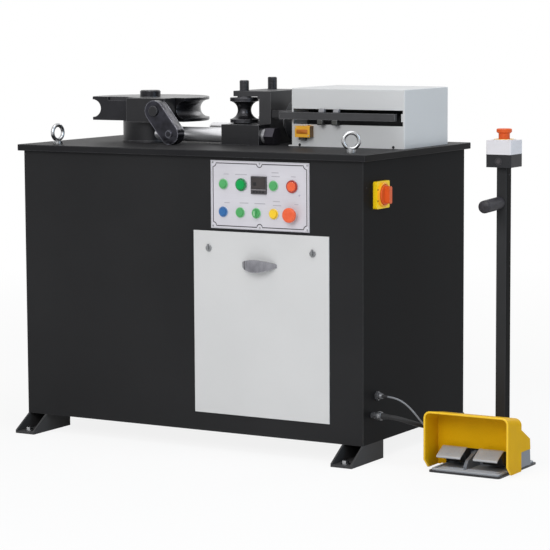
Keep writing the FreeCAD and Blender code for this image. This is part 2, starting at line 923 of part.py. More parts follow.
def make_carriage():
    frame = body("carriage_frame", ("carriage_left", "frame_front", "carriage_low"))
    jaw = "jaw_top - carriage_low"
    reach = "carriage_wide - column_thick"
    arm = "arm_low - carriage_low"
    top = "arm_top - carriage_low"
    pad(frame, "XZ", [[("0", "0"), ("carriage_wide", "0"), ("carriage_wide", top), ("0", top),
                       ("0", arm), (reach, arm), (reach, jaw), ("0", jaw)]],
        "frame_back - frame_front")
    soften(frame, "inner_corner", lambda edge: runs_along(edge, Vector(0, 1, 0))
           and abs(edge.Vertexes[0].X - number(reach)) < 0.01)
    spots = [("roller_in", "(%s) - frame_front" % y) for y in ("front_roller_y", "rear_roller_y")]
    pocket(frame, "XY", [], "top_arm_thick + 2", [(at, "pin_radius + running_fit") for at in spots],
           "(%s) - 1" % arm)
    pocket(frame, "XY", [], "pin_in_jaw + 1", [(at, "pin_radius + running_fit") for at in spots],
           "(%s) - pin_in_jaw" % jaw)


def make_rollers():
    for side, y, out in (("front", "front_roller_y", "front_pin_out"),
                         ("rear", "rear_roller_y", "rear_pin_out")):
        roller = body(side + "_roller", ("roller_x", y, "roller_low"))
        bore = "pin_radius + running_fit"
        revolve(roller, [(bore, "0"), ("roller_radius - roller_edge", "0"),
                         ("roller_radius", "roller_edge"),
                         ("roller_radius", "roller_high - roller_edge"),
                         ("roller_radius - roller_edge", "roller_high"),
                         ("roller_collar", "roller_high"),
                         ("roller_collar", "roller_high + roller_collar_high"),
                         (bore, "roller_high + roller_collar_high")])
        revolve(roller, None, True, (("roller_groove_centre", "roller_high / 2"),
                                     "tube_radius + groove_play"))
        pin = body(side + "_roller_pin", ("roller_x", y, "jaw_top - pin_in_jaw + side_gap"))
        length = "arm_top + (%s) - jaw_top + pin_in_jaw - side_gap" % out
        revolve(pin, [("0", "0"), ("pin_radius - roller_edge", "0"), ("pin_radius", "roller_edge"),
                      ("pin_radius", "(%s) - pin_edge" % length),
                      ("pin_radius - pin_edge", length), ("0", length)])


def make_trip_rail():
    rail = body("dog_rail", ("rail_left", "rail_y", "rail_z"))
    reach = "carriage_right - rail_left"
    back = "bracket_back"
    pad(rail, "XY", [[("0", "0"), ("rail_long", "0"), ("rail_long", "rail_thick"),
                      ("rail_thick", "rail_thick"), ("rail_thick", back), (reach, back),
                      (reach, "bracket_back - rail_thick"), ("0", "bracket_back - rail_thick")]],
        "rail_high")
    dogs = []
    for index in range(2):
        x = "rail_left + first_dog + %d * dog_pitch - dog_wide / 2" % index
        block = box("dog_block_%d" % index, (x, "rail_y - dog_out", "table_top + dog_up"),
                    ("dog_wide", "dog_deep", "dog_high"))
        slot = box("dog_slot_%d" % index, ("(%s) - 1" % x, "rail_y - running_fit",
                                           "rail_z - running_fit"),
                   ("dog_wide + 2", "rail_thick + 2 * running_fit", "rail_high + 2 * running_fit"))
        dogs.append(cut("dog_%d" % index, block, slot))
    group("trip_dogs", dogs)


# Cylinder, its mount and cover, and the limit switch

def make_cylinder():
    ram = body("cylinder", ("head_left", "press_y", "cylinder_z"), along_x)
    end = "head_long + barrel_long"
    cap = "head_long + barrel_long - barrel_cap"
    rod_hole = "piston_rod_radius + running_fit"
    bore = "barrel_radius - barrel_wall"
    revolve(ram, [(rod_hole, "0"), ("head_radius - head_edge", "0"), ("head_radius", "head_edge"),
                  ("head_radius", "head_long - head_back_edge"),
                  ("head_radius - head_back_edge", "head_long"), ("barrel_radius", "head_long"),
                  ("barrel_radius", end), ("0", end), ("0", cap), (bore, cap),
                  (bore, "gland_long"), (rod_hole, "gland_long")])
    rod = body("piston_rod", ("carriage_right", "press_y", "cylinder_z"), along_x)
    length = "head_left + head_long + piston_from_end - carriage_right"
    neck = "(%s) - piston_long" % length
    revolve(rod, [("0", "0"), ("piston_rod_radius", "0"), ("piston_rod_radius", neck),
                  ("barrel_radius - barrel_wall - running_fit", neck),
                  ("barrel_radius - barrel_wall - running_fit", length), ("0", length)])


def make_cylinder_mount():
    inside = "(cover_wall + side_gap)"
    front = "cover_front + " + inside
    plate = box("mount_base", ("mount_left", front, "table_top"),
                ("cover_wide + mount_lip - " + inside, "cover_deep - 2 * " + inside, "mount_plate"))
    turn_up = box("mount_turn_up", ("cover_left + " + inside, front, "table_top"),
                  ("cover_wide - 2 * " + inside, "mount_plate", "mount_turn_up"))
    pieces = [plate, turn_up]
    for index, x in enumerate(("cover_left + saddle_in", "cover_left + cover_wide - rear_saddle_in")):
        pieces.append(box("saddle_%d" % index, (x, "press_y - saddle_half_wide", "table_top"),
                          ("saddle_long", "2 * saddle_half_wide",
                           "cylinder_high - saddle_below_axis")))
    side = "rear_rod_y - rod_holder_wide / 2"
    pieces.append(box("rod_holder", ("mount_left - rod_holder_long", side, "table_top"),
                      ("rod_holder_long", "rod_holder_wide",
                       "rod_high + rod_radius + rod_holder_over")))
    pieces.append(box("holder_tongue", ("mount_left - 1", side, "table_top"),
                      ("holder_tongue", "cover_front + cover_deep - %s - (%s)" % (inside, side),
                       "mount_plate")))
    whole = joined("mount_whole", pieces)
    bore = cylinder("saddle_bore", ("cover_left - 10", "press_y", "cylinder_z"),
                    "barrel_radius + running_fit", "cover_wide", along_x)
    seat = cylinder("rod_holder_bore", ("mount_left - rod_holder_long - 5", "rear_rod_y", "rod_z"),
                    "rod_radius + running_fit", "rod_holder_long + 10", along_x)
    cut("cylinder_mount", whole, bore, seat)


def make_cover():
    cover = body("box_cover", ("cover_left", "cover_front", "table_top + side_gap"))
    high = "cover_high - side_gap"
    pad(cover, "XY", [rectangle("0", "0", "cover_wide", "cover_deep")], high)
    soften(cover, "cover_corner", lambda edge: is_upright(edge)
           or min(corner.Z for corner in edge.Vertexes) > number(high) - 0.01)
    pocket(cover, "XY", [rectangle("cover_wall", "cover_wall", "cover_wide - 2 * cover_wall",
                                   "cover_deep - 2 * cover_wall")],
           "(%s) - cover_wall + 1" % high, offset="-1")
    pocket(cover, "XZ", [rectangle("slot_in", "slot_up - side_gap", "cover_wide - 2 * slot_in",
                                   "slot_high")], "cover_wall + 2", offset="1")
    pocket(cover, "YZ", [], "cover_wall + 2",
           [(("press_y - cover_front", "cylinder_high - side_gap"), "head_radius + side_gap")], "-1")
    pocket(cover, "YZ", [rectangle("cover_wall", "-1", "cover_deep - 2 * cover_wall",
                                   "mount_plate + 1 + side_gap")], "cover_wall + 2", offset="-1")


def make_limit_switch():
    case = box("switch_case", ("switch_left", "cover_front - switch_deep", "switch_z"),
               ("switch_wide", "switch_deep", "switch_high"))
    softened = rounded("switch_case_soft", case, "switch_corner", is_upright)
    boss = cylinder("switch_boss_below", ("switch_left + switch_wide * switch_post_share",
                                         "cover_front - switch_deep / 2",
                                         "switch_z - switch_boss_high"),
                    "switch_boss", "switch_boss_high + 1")
    nose = cylinder("switch_nose", ("plunger_x", "cover_front - switch_deep / 2",
                                    "switch_z + switch_high"), "switch_nose", "switch_nose_high")
    bore = cylinder("plunger_bore", ("plunger_x", "cover_front - switch_deep / 2",
                                     "switch_z + switch_high - 2 * plunger_in"),
                    "plunger_radius + running_fit", "3 * plunger_in")
    cut("limit_switch", joined("switch_whole", [softened, boss, nose]), bore)
    plunger = body("limit_switch_plunger",
                   ("plunger_x", "cover_front - switch_deep / 2",
                    "switch_z + switch_high - plunger_in"))
    top = "table_top + dog_up - side_gap - switch_z - switch_high + plunger_in"
    revolve(plunger, [("0", "0"), ("plunger_radius", "0"),
                      ("plunger_radius", "(%s) - plunger_edge" % top),
                      ("plunger_radius - plunger_edge", top), ("0", top)])


# Door

def make_door():
    door = body("door", ("door_left", "door_front", "door_low"))
    hole_z = "door_high - lock_down"
    pad(door, "XZ", [rectangle("0", "0", "door_wide", "door_high")], "door_thick",
        [(("lock_side", hole_z), "lock_stem + running_fit"),
         (("door_wide - lock_side", hole_z), "lock_stem + running_fit")])
    for side, x in (("left", "door_left + lock_side"), ("right", "door_left + door_wide - lock_side")):
        lock = body(side + "_lock_body",
                    (x, "door_front - lock_head_high", "door_low + " + hole_z), along_y)
        end = "lock_head_high + lock_stem_long"
        revolve(lock, [("0", "0"), ("lock_head - 1", "0"), ("lock_head", "1"),
                       ("lock_head", "lock_head_high - side_gap"),
                       ("lock_stem", "lock_head_high - side_gap"), ("lock_stem", "(%s) - 1" % end),
                       ("lock_stem - 1", end), ("0", end)])
        wing = box(side + "_lock_wing",
                   ("(%s) - lock_wing_thick / 2" % x, "door_front - lock_head_high - lock_wing_out",
                    "door_low + (%s) - lock_wing_low" % hole_z),
                   ("lock_wing_thick", "lock_wing_out + 1", "lock_wing_long"))
        joined(side + "_door_lock", [lock, wing])


# A bow bent to an arc in plan, with a lens-shaped face that is tallest in the middle.
def make_handle():
    x = "door_left + handle_from_left"
    z = "door_low + door_high - handle_down"
    low = "(%s) - handle_high / 2" % z
    pieces = []
    for name, half, out in (("outer", "(handle_long / 2)", "handle_out"),
                            ("inner", "(handle_long / 2 - handle_thick)",
                             "(handle_out - handle_thick)")):
        bend = "(%s * %s + %s * %s) / (2 * %s)" % (half, half, out, out, out)
        pieces.append(cylinder("handle_%s_bend" % name, (x, "door_front - %s + %s" % (out, bend), low),
                               bend, "handle_high"))
    bow = cut("handle_bow", *pieces)
    arc = "(handle_tip * handle_tip + handle_high * handle_high / 4) / handle_high"
    faces = []
    for name, sign in (("upper", "-"), ("lower", "+")):
        centre = "(%s) %s (%s - handle_high / 2)" % (z, sign, arc)
        faces.append(cylinder("handle_%s_arc" % name, (x, "door_front - handle_out - 1", centre), arc,
                              "handle_out + 2", along_y))
    front = box("handle_reach", ("(%s) - handle_long / 2" % x, "door_front - handle_out", low),
                ("handle_long", "handle_out", "handle_high"))
    handle = doc.addObject("Part::MultiCommon", "door_handle")
    handle.Shapes = [bow, front] + faces


# Control panel with its buttons: name, place along the panel, row, radius, bezel radius, height

buttons = [("left_green_button", "left_green_at", "upper_row", "button_radius", "bezel_radius"),
           ("large_green_button", "large_green_at", "upper_row", "large_button", "large_bezel"),
           ("right_green_button", "right_green_at", "upper_row", "button_radius", "bezel_radius"),
           ("red_button", "red_at", "upper_row", "large_button", "large_bezel"),
           ("blue_button", "blue_at", "lower_row", "button_radius", "bezel_radius"),
           ("green_button", "green_at", "lower_row", "button_radius", "bezel_radius"),
           ("selector_knob", "selector_at", "lower_row", "button_radius", "bezel_radius"),
           ("yellow_button", "yellow_at", "lower_row", "button_radius", "bezel_radius"),
           ("stop_mushroom", "mushroom_at", "lower_row", "button_radius", "bezel_radius")]


def make_panel():
    plate = body("panel_plate", ("panel_left", "panel_front", "panel_low"))
    holes = [((x, row), radius + " + side_gap") for name, x, row, radius, bezel in buttons]
    side = "instrument_case + 2 * hole_play"
    window = rectangle("instrument_at - (%s) / 2" % side, "upper_row - (%s) / 2" % side, side, side)
    pad(plate, "XZ", [rectangle("0", "0", "panel_wide", "panel_high"), window], "panel_thick", holes)
    pieces = [plate]
    for name, x, row, radius, bezel in buttons:
        bezel_high = "large_bezel_high" if bezel == "large_bezel" else "bezel_high"
        at = ("panel_left + " + x, "panel_front", "panel_low + " + row)
        collar = body(name + "_bezel", at, facing_front)
        inner = radius + " + side_gap"
        revolve(collar, [(inner, "0 - bezel_seat"), (bezel, "0 - bezel_seat"),
                         (bezel, bezel_high + " - bezel_edge"),
                         (bezel + " - bezel_edge", bezel_high), (inner, bezel_high)])
        pieces.append(collar)
    joined("control_panel", pieces)


def make_buttons():
    for name, x, row, radius, bezel in buttons:
        at = ("panel_left + " + x, "panel_front + button_back", "panel_low + " + row)
        high = "button_back + button_out"
        if bezel == "large_bezel":
            high = "button_back + button_out + large_button_more"
        cap = [("0", "0"), (radius, "0"), (radius, "(%s) - button_edge" % high),
               (radius + " - button_edge", high), ("0", high)]
        if name == "stop_mushroom":
            high = "button_back + mushroom_out"
            low = "(%s) - mushroom_high" % high
            cap = [("0", "0"), (radius, "0"), (radius, low), ("mushroom_radius - button_edge", low),
                   ("mushroom_radius", "(%s) + button_edge" % low),
                   ("mushroom_radius", "(%s) - mushroom_crown" % high),
                   ("mushroom_radius - mushroom_edge", high), ("0", high)]
        if name == "selector_knob":
            turned = body("selector_barrel", at, facing_front)
            revolve(turned, cap)
            bar = box("selector_bar", ("panel_left + (%s) - knob_bar / 2" % x,
                                       "panel_front - knob_out",
                                       "panel_low + %s - knob_bar_long / 2" % row),
                      ("knob_bar", "knob_out", "knob_bar_long"))
            joined(name, [turned, bar])
        else:
            revolve(body(name, at, facing_front), cap)


def make_instrument():
    meter = body("instrument", ("panel_left + instrument_at", "panel_front - instrument_out",
                                "panel_low + upper_row"))
    half = "instrument_face / 2"
    pad(meter, "XZ", [rectangle("0 - " + half, "0 - " + half, "instrument_face", "instrument_face")],
        "instrument_out - running_fit")
    pocket(meter, "XZ", [rectangle("screen_in - " + half, "screen_up - " + half,
                                   "instrument_face - 2 * screen_in",
                                   "instrument_face - screen_in - screen_up")],
           "1 + screen_deep", offset="1")
    half = "instrument_case / 2"
    pad(meter, "XZ", [rectangle("0 - " + half, "0 - " + half, "instrument_case", "instrument_case")],
        "instrument_back + instrument_out - 2", offset="0 - 2")


# Main switch and cable glands on the right wall

def make_main_switch():
    plate = body("main_switch_box", ("right_wall", "main_y", "main_z"))
    half = "main_size / 2"
    pad(plate, "YZ", [rectangle("0 - " + half, "0 - " + half, "main_size", "main_size")],
        "main_thick", [(("0", "0"), "main_shaft + running_fit")])
    soften(plate, "main_corner", lambda edge: runs_along(edge, Vector(1, 0, 0)))
    pad(plate, "YZ", [], "main_collar_high",
        [(("0", "0"), "main_collar"), (("0", "0"), "main_shaft + running_fit")], "main_thick")
    knob = body("main_switch_knob", ("right_wall - sheet_wall - main_shaft_in", "main_y", "main_z"),
                along_x)
    face = "sheet_wall + main_shaft_in + main_face"
    top = face + " + main_knob_high"
    revolve(knob, [("0", "0"), ("main_shaft", "0"), ("main_shaft", face), ("main_knob", face),
                   ("main_knob", "(%s) - button_edge" % top),
                   ("main_knob - button_edge", top), ("0", top)])
    grip = body("main_switch_grip", ("right_wall + main_face", "main_y", "main_z"))
    pad(grip, "YZ", [rectangle("0 - main_grip_wide / 2", "0 - main_grip_long / 2", "main_grip_wide",
                               "main_grip_long")], "main_out")
    soften(grip, "main_grip_round", lambda edge: runs_along(edge, Vector(1, 0, 0)))
    joined("main_switch_handle", [knob, grip])


def gland_spots():
    return [("upper", "front_wall + upper_gland_from_front", "foot_high + upper_gland_up",
             "gland_hex + gland_dome_high"),
            ("lower", "front_wall + lower_gland_from_front", "foot_high + lower_gland_up",
             "lower_gland_reach")]


def make_glands():
    upper, lower = gland_spots()
    name, y, z, end = upper
    nut = hexagon("upper_gland_nut", ("right_wall", y, z), "gland_flats", "gland_hex", along_x)
    dome = body("upper_gland_dome", ("right_wall", y, z), along_x)
    revolve(dome, [("0", "0"), ("gland_dome", "0"), ("gland_dome", "gland_hex + gland_dome_straight"),
                   ("gland_dome - gland_dome_edge", end), ("0", end)])
    upper_gland = joined("upper_gland", [nut, dome])
    name, y, z, end = lower
    nut = hexagon("lower_gland_nut", ("right_wall", y, z), "lower_nut_flats", "lower_nut_long", along_x)
    ring_nut = body("lower_gland_ring", ("right_wall", y, z), along_x)
    revolve(ring_nut, [("0", "0"), ("lower_neck", "0"), ("lower_neck", "lower_ring_at"),
                       ("lower_ring - lower_ring_edge", "lower_ring_at"),
                       ("lower_ring", "lower_ring_at + lower_ring_edge"),
                       ("lower_ring", "(%s) - lower_ring_edge" % end),
                       ("lower_ring - lower_ring_edge", end), ("0", end)])
    group("cable_glands", [upper_gland, joined("lower_gland", [nut, ring_nut])])


# Foot switch

def make_pedal_base():
    base = body("pedal_base", ("pedal_x - base_wide / 2", "pedal_y", "0"))
    pad(base, "XY", [rectangle("0", "0", "base_wide", "base_deep")], "base_thick")
    pad(base, "XY", [rectangle("tray_in", "tray_in", "base_wide - 2 * tray_in",
                               "base_deep - 2 * tray_in")], "tray_thick", offset="base_thick")
    soften(base, "base_corner", is_upright)


def slopes_back(edge):
    if not isinstance(edge.Curve, Part.Line) or is_upright(edge):
        return False
    low = min(corner.Z for corner in edge.Vertexes)
    return not runs_along(edge, Vector(1, 0, 0)) and low > number("hood_shoulder")


def make_hood():
    outer = body("hood_outer", ("pedal_x - hood_wide / 2", "pedal_y", "0"))
    pad(outer, "YZ", [[("hood_lip", "hood_lip_low"), ("hood_toe", "hood_low"),
                       ("hood_cowl_back", "hood_low"), ("hood_cowl_back", "hood_cowl_high"),
                       ("hood_lip", "hood_high")]], "hood_wide")
    soften(outer, "hood_round", slopes_back)
    tail = body("hood_tail", ("pedal_x - hood_wide / 2 + hood_step", "pedal_y", "0"))
    start = "hood_cowl_back - hood_join"
    low_end = "hood_tail + hood_tail_lean"
    pad(tail, "YZ", [[(start, "hood_tail_low"), (low_end, "hood_tail_low"),
                      ("hood_tail", "hood_tail_high"), ("hood_cowl_back - 1", "hood_shoulder"),
                      (start, "hood_shoulder")]], "hood_wide - 2 * hood_step")
    mouth = body("hood_mouth", ("pedal_x - hood_wide / 2 + hood_wall", "pedal_y", "0"))
    before = "hood_lip - 10"
    inner_back = "hood_cowl_back - hood_wall"
    inner_top = "hood_high - hood_wall"
    pad(mouth, "YZ", [[(before, "-1"), (inner_back, "-1"),
                       (inner_back, "hood_cowl_high - hood_wall"), ("hood_lip", inner_top),
                       (before, inner_top)]], "hood_wide - 2 * hood_wall")
    soften(mouth, "hood_round - hood_wall", slopes_back)
    hollow = body("hood_tail_hollow",
                  ("pedal_x - hood_wide / 2 + hood_step + hood_wall", "pedal_y", "0"))
    below = "hood_tail_low - 1"
    roof = "hood_shoulder - hood_wall - 1"
    pad(hollow, "YZ", [[(start, below), (low_end + " - hood_wall", below),
                        ("hood_tail - hood_wall", "hood_tail_high - hood_tail_lean"),
                        ("hood_cowl_back + 2", roof), ("hood_cowl_back", roof),
                        ("hood_cowl_back", "hood_apron"), (start, "hood_apron")]],
        "hood_wide - 2 * hood_step - 2 * hood_wall")
    under = box("hood_under", ("pedal_x - hood_wide / 2 + hood_step", "pedal_y + hood_under", "-1"),
                ("hood_wide - 2 * hood_step", "hood_under", "hood_tail_low + 1"))
    cut("pedal_hood", joined("hood_whole", [outer, tail]), mouth, hollow, under)


def make_pedal_body():
    left = "pedal_x - hood_wide / 2 + body_in"
    wide = "hood_wide - 2 * body_in"
    block = body("foot_switch_block", (left, "pedal_y", "tray_top"))
    high = "body_high - tray_top"
    pad(block, "YZ", [[("body_front", "0"), ("body_back + body_lean", "0"), ("body_back", high),
                       ("body_front", high)]], wide)
    fin = body("foot_switch_fin", ("pedal_x - fin_aside - fin_thick / 2", "pedal_y", "tray_top"))
    pad(fin, "YZ", [[("fin_front", "0"), ("body_front + 1", "0"), ("body_front + 1", high),
                     ("fin_front + fin_slope", high),
                     ("fin_front + fin_chin", "(%s) - fin_chin_down" % high),
                     ("fin_front", "fin_chin_up")]], "fin_thick")
    pieces = [block, fin]
    for side, x in (("left", left), ("right", "(%s) + (%s) - ear_thick" % (left, wide))):
        pieces.append(box(side + "_ear", (x, "pedal_y + ear_front", "tray_top"),
                          ("ear_thick", "body_front - ear_front + 1", high)))
    pieces.append(cylinder("pedal_pin_bar", (left, "pedal_axis_y", "pedal_axis_high"), "pedal_pin",
                           wide, along_x))
    pieces.append(cord_boss(0))
    joined("pedal_body", pieces)


def cord_ends():
    body_left = "pedal_x - hood_wide / 2 + body_in"
    return [("cable", body_left, "pedal_y + cable_entry_back", "cable_entry_up"),
            ("conduit", "post_x - post_side / 2", "post_y", "conduit_entry_up")]


def cord_boss(index):
    name, x, y, z = cord_ends()[index]
    return cylinder(name + "_boss", ("(%s) - cord_boss_out" % x, y, z), "cord_boss",
                    "cord_boss_out + post_wall / 2", along_x)


def make_pedals():
    for side, sign in (("left", "-"), ("right", "+")):
        pedal = body(side + "_pedal",
                     ("pedal_x - pedals_aside %s pedal_apart / 2 - pedal_wide / 2" % sign, "pedal_y", "0"))
        back = "pedal_front + pedal_long"
        side_view = [("pedal_front", "pedal_front_high - pedal_side"),
                     ("pedal_front", "pedal_front_high"), (back, "pedal_back_high"),
                     (back, "pedal_axis_high - heel_down"),
                     ("(%s) - heel_long" % back, "pedal_axis_high - heel_low")]
        pad(pedal, "YZ", [side_view], "pedal_wide")
        under = [("pedal_front + pedal_wall", "0"),
                 ("pedal_front + pedal_wall", "pedal_front_high - pedal_plate"),
                 ("(%s) + 1" % back, "pedal_back_high - pedal_plate"), ("(%s) + 1" % back, "0")]
        pocket(pedal, "YZ", [under], "pedal_wide - 2 * pedal_wall", offset="pedal_wall")
        pocket(pedal, "YZ", [], "pedal_wide + 2", [(("pedal_axis_y - pedal_y", "pedal_axis_high"),
               "pedal_pin + running_fit")], "-1")
        for index in range(int(number("pedal_ribs"))):
            share = "%d / (pedal_ribs - 1)" % index
            y = "pedal_front + rib_margin + (pedal_long - 2 * rib_margin - rib_thick) * " + share
            z = "pedal_front_high + (pedal_back_high - pedal_front_high) * (%s)" % share
            pad(pedal, "YZ", [[(y, "(%s) - 1" % z), ("(%s) + rib_thick" % y, "(%s) - 1" % z),
                               ("(%s) + rib_thick - rib_slope" % y, "(%s) + rib_high" % z),
                               ("(%s) + rib_slope" % y, "(%s) + rib_high" % z)]],
                "pedal_wide - 2 * rib_in", offset="rib_in")


# Post with the stop button and its grip

def make_post():
    half = "post_side / 2"
    at = ("post_x", "post_y", "tray_top")
    post = body("post_tube", at)
    pad(post, "XY", [rectangle("0 - " + half, "0 - " + half, "post_side", "post_side")],
        "post_high - tray_top")
    soften(post, "post_corner", is_upright)
    inner = "post_side / 2 - post_wall"
    pocket(post, "XY", [rectangle("0 - (%s)" % inner, "0 - (%s)" % inner,
                                  "post_side - 2 * post_wall", "post_side - 2 * post_wall")],
           "post_high + 2", offset="-1")
    joined("post", [post, cord_boss(1)])
    for name, low, high in (("stop_box", "post_high", "box_high"), ("stop_lid", "lid_low", "lid_high")):
        case = body(name, ("post_x", "post_y", low))
        pad(case, "XY", [rectangle("0 - box_side / 2", "0 - box_side / 2", "box_side", "box_side")],
            high)
        soften(case, "box_corner", is_upright)
        if name == "stop_lid":
            pad(case, "XY", [], "ring_high", [(("0", "0"), "ring_radius")], "lid_high")
            pocket(case, "XY", [], "lid_high + ring_high",
                   [(("0", "0"), "stop_stem + side_gap")], "lid_high - stop_in - stop_room")
    button = body("stop_button", ("post_x", "post_y", "lid_top - stop_in"))
    top = "stop_in + stop_high"
    brim = "(%s) - stop_brim_high" % top
    revolve(button, [("0", "0"), ("stop_stem", "0"), ("stop_stem", brim + " - stop_neck"),
                     ("stop_brim", brim), ("stop_brim", "(%s) - stop_edge" % top),
                     ("stop_brim - stop_edge", top), ("0", top)])
    grip = body("post_grip", ("post_x", "post_y - " + half, "grip_up"), facing_front)
    end = "grip_long"
    revolve(grip, [("0", "0"), ("grip_collar", "0"), ("grip_collar", "grip_collar_long"),
                   ("grip_radius", "grip_collar_long + grip_step"), ("grip_radius", end),
                   ("0", end)])
    soften(grip, "grip_round", lambda edge: isinstance(edge.Curve, Part.Circle)
           and abs(edge.Curve.Radius - number("grip_radius")) < 0.01
           and abs(edge.Vertexes[0].Z - number(end)) < 0.01)


# Drive and hydraulic unit inside the cabinet

def make_drive():
    low = "cabinet_top - gear_high"
    case = box("gear_case", ("die_x - gear_side / 2", "die_y - gear_side / 2", low),
               ("gear_side", "gear_side", "gear_high"))
    motor = cylinder("gear_motor", ("die_x + gear_side / 2 - 1", "die_y", low + " + gear_high / 2"),
                     "motor_radius", "motor_long", along_x)
    bore = cylinder("gear_bore", ("die_x", "die_y", low + " - 1"), "spindle_radius + running_fit",
                    "gear_high + 2")
    cut("gear_reducer", joined("gear_whole", [case, motor]), bore)


def make_power_unit():
    low = "foot_high + sheet_wall"
    left = "right_wall - sheet_wall - tank_right - tank_long"
    front = "tank_back - tank_deep / 2"
    tank = box("oil_tank", (left, front, low), ("tank_long", "tank_deep", "tank_high"))
    pump = cylinder("pump_motor", ("(%s) + tank_long * pump_at" % left, "tank_back",
                                   "(%s) + tank_high - 1" % low), "pump_radius", "pump_high")
    valves = box("valve_stack", ("(%s) + tank_long * valves_at" % left,
                                 "tank_back - valve_deep / 2",
                                 "(%s) + tank_high - 1" % low),
                 ("valve_long", "valve_deep", "valve_high"))
    joined("power_unit", [tank, pump, valves])


# Cords: straight runs joined by arcs that touch them

def make_cord(name, points, wide):
    pieces = []
    radii = []
    last = points[0]
    for index in range(1, len(points) - 1):
        corner = points[index]
        back = points[index - 1] - corner
        ahead = points[index + 1] - corner
        turn = math.pi - back.getAngle(ahead)
        setback = 0.45 * min(back.Length, ahead.Length)
        radius = setback / math.tan(turn / 2)
        radii.append(round(radius, 1))
        back.normalize()
        ahead.normalize()
        start = corner + back * setback
        end = corner + ahead * setback
        middle = back + ahead
        middle.normalize()
        top = corner + middle * (radius / math.cos(turn / 2) - radius)
        pieces.append(Part.LineSegment(last, start).toShape())
        pieces.append(Part.Arc(start, top, end).toShape())
        last = end
    pieces.append(Part.LineSegment(last, points[-1]).toShape())
    path = Part.Wire(pieces)
    start_way = points[1] - points[0]
    circle = Part.Wire([Part.Circle(points[0], start_way, wide / 2).toShape()])
    tube = path.makePipeShell([circle], True, False)
    cord = doc.addObject("Part::Feature", name)
    cord.Shape = tube
    ideal = math.pi * wide * wide / 4 * path.Length
    print(name, "radii", radii, "volume against section x length", round(tube.Volume / ideal, 4))


def make_cords():
    routes = {
        "control_cable": [(19, 0, 0), (47, 2, -5), (70, 6, -19), (88, 10, -37), (102, 15, -56),
                          (113, 27, -75), (118, 44, -93), (121, 62, -110), (126, 78, -125),
                          (136, 90, -135), (151, 95, -140)],
        "control_conduit": [(24, 0, 0), (47, 6, -4), (67, 18, -11), (83, 37, -20), (92, 63, -28),
                            (102, 91, -35), (119, 121, -43), (144, 147, -51), (175, 164, -57),
                            (208, 170, -62), (232, 170, -65)],
    }
    widths = {"control_cable": "cable_wide", "control_conduit": "conduit_wide"}
    for (name, offsets), gland, end in zip(routes.items(), gland_spots(), cord_ends()):
        side, y, z, reach = gland
        start = Vector(number("right_wall + " + reach), number(y), number(z))
        points = [start]
        for offset in offsets:
            points.append(start + Vector(*offset))
        points.append(Vector(number(end[1] + " - cord_boss_out"), number(end[2]), number(end[3])))
        make_cord(name, points, number(widths[name]))


make_cabinet()
make_table()
make_eye_bolts()
make_feet()
make_spindle_housing()
make_spindle()
make_die()
make_die_nut()
make_clamp()
make_guide_rods()
make_rod_blocks()
make_carriage()
make_rollers()
make_trip_rail()
make_cylinder()
make_cylinder_mount()
make_cover()
make_limit_switch()
make_door()
make_handle()
make_panel()
make_buttons()
make_instrument()
make_main_switch()
make_glands()
make_pedal_base()
make_hood()
make_pedal_body()
make_pedals()
make_post()
make_drive()
make_power_unit()
make_cords()

nodes = ["cabinet_shell", "cabinet_front", "table_plate", "feet", "foot_bolts", "eye_bolts", "spindle_housing",
         "spindle", "bending_die", "die_nut", "clamp_block", "arm_pivot_pin", "clamp_arm",
         "guide_rods", "rod_blocks", "carriage_frame", "front_roller", "rear_roller",
         "front_roller_pin", "rear_roller_pin", "dog_rail", "trip_dogs", "cylinder", "piston_rod",
         "cylinder_mount", "box_cover", "limit_switch", "limit_switch_plunger", "door",
         "left_door_lock", "right_door_lock", "door_handle", "control_panel", "instrument",
         "main_switch_box", "main_switch_handle", "cable_glands", "pedal_base", "pedal_hood",
         "pedal_body", "left_pedal", "right_pedal", "post", "stop_box", "stop_lid", "stop_button",
         "post_grip", "gear_reducer", "power_unit", "control_cable", "control_conduit"]
nodes += [name for name, x, row, radius, bezel in buttons]

doc.recompute()
for item in doc.Objects:
    if "Invalid" in item.State or "Error" in item.State:
        raise RuntimeError("failed: %s %s" % (item.Name, item.State))

os.makedirs("parts", exist_ok=True)
for node in nodes:
    item = doc.getObject(node)
    item.Label = node
    if item.Shape.isNull() or not item.Shape.isValid():
        raise RuntimeError("no valid shape: " + node)
    item.Shape.exportStep(os.path.join("parts", node + ".step"))
print(len(nodes), "nodes,", sum(len(doc.getObject(node).Shape.Solids) for node in nodes), "solids")
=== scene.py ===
import math
import bmesh
import bpy
from mathutils import Matrix, Vector


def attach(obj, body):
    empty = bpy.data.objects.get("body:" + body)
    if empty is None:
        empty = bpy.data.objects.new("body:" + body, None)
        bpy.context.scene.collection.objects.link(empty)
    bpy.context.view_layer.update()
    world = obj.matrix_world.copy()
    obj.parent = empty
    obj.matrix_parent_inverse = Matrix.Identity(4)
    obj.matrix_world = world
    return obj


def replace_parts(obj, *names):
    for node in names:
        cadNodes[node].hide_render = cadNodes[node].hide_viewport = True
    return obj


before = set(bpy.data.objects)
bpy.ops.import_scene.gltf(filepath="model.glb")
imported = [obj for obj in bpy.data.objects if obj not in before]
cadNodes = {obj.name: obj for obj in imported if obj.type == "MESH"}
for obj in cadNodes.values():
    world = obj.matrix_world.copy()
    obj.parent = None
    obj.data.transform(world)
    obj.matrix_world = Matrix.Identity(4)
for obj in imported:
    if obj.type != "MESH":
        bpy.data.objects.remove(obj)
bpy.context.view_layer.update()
mm = 0.001
print("bender frame loaded,", len(cadNodes), "nodes")


def place(x, y, z):
    return Vector((x * mm, y * mm, z * mm))


def linkIn(piece):
    bpy.context.scene.collection.objects.link(piece)
    return piece


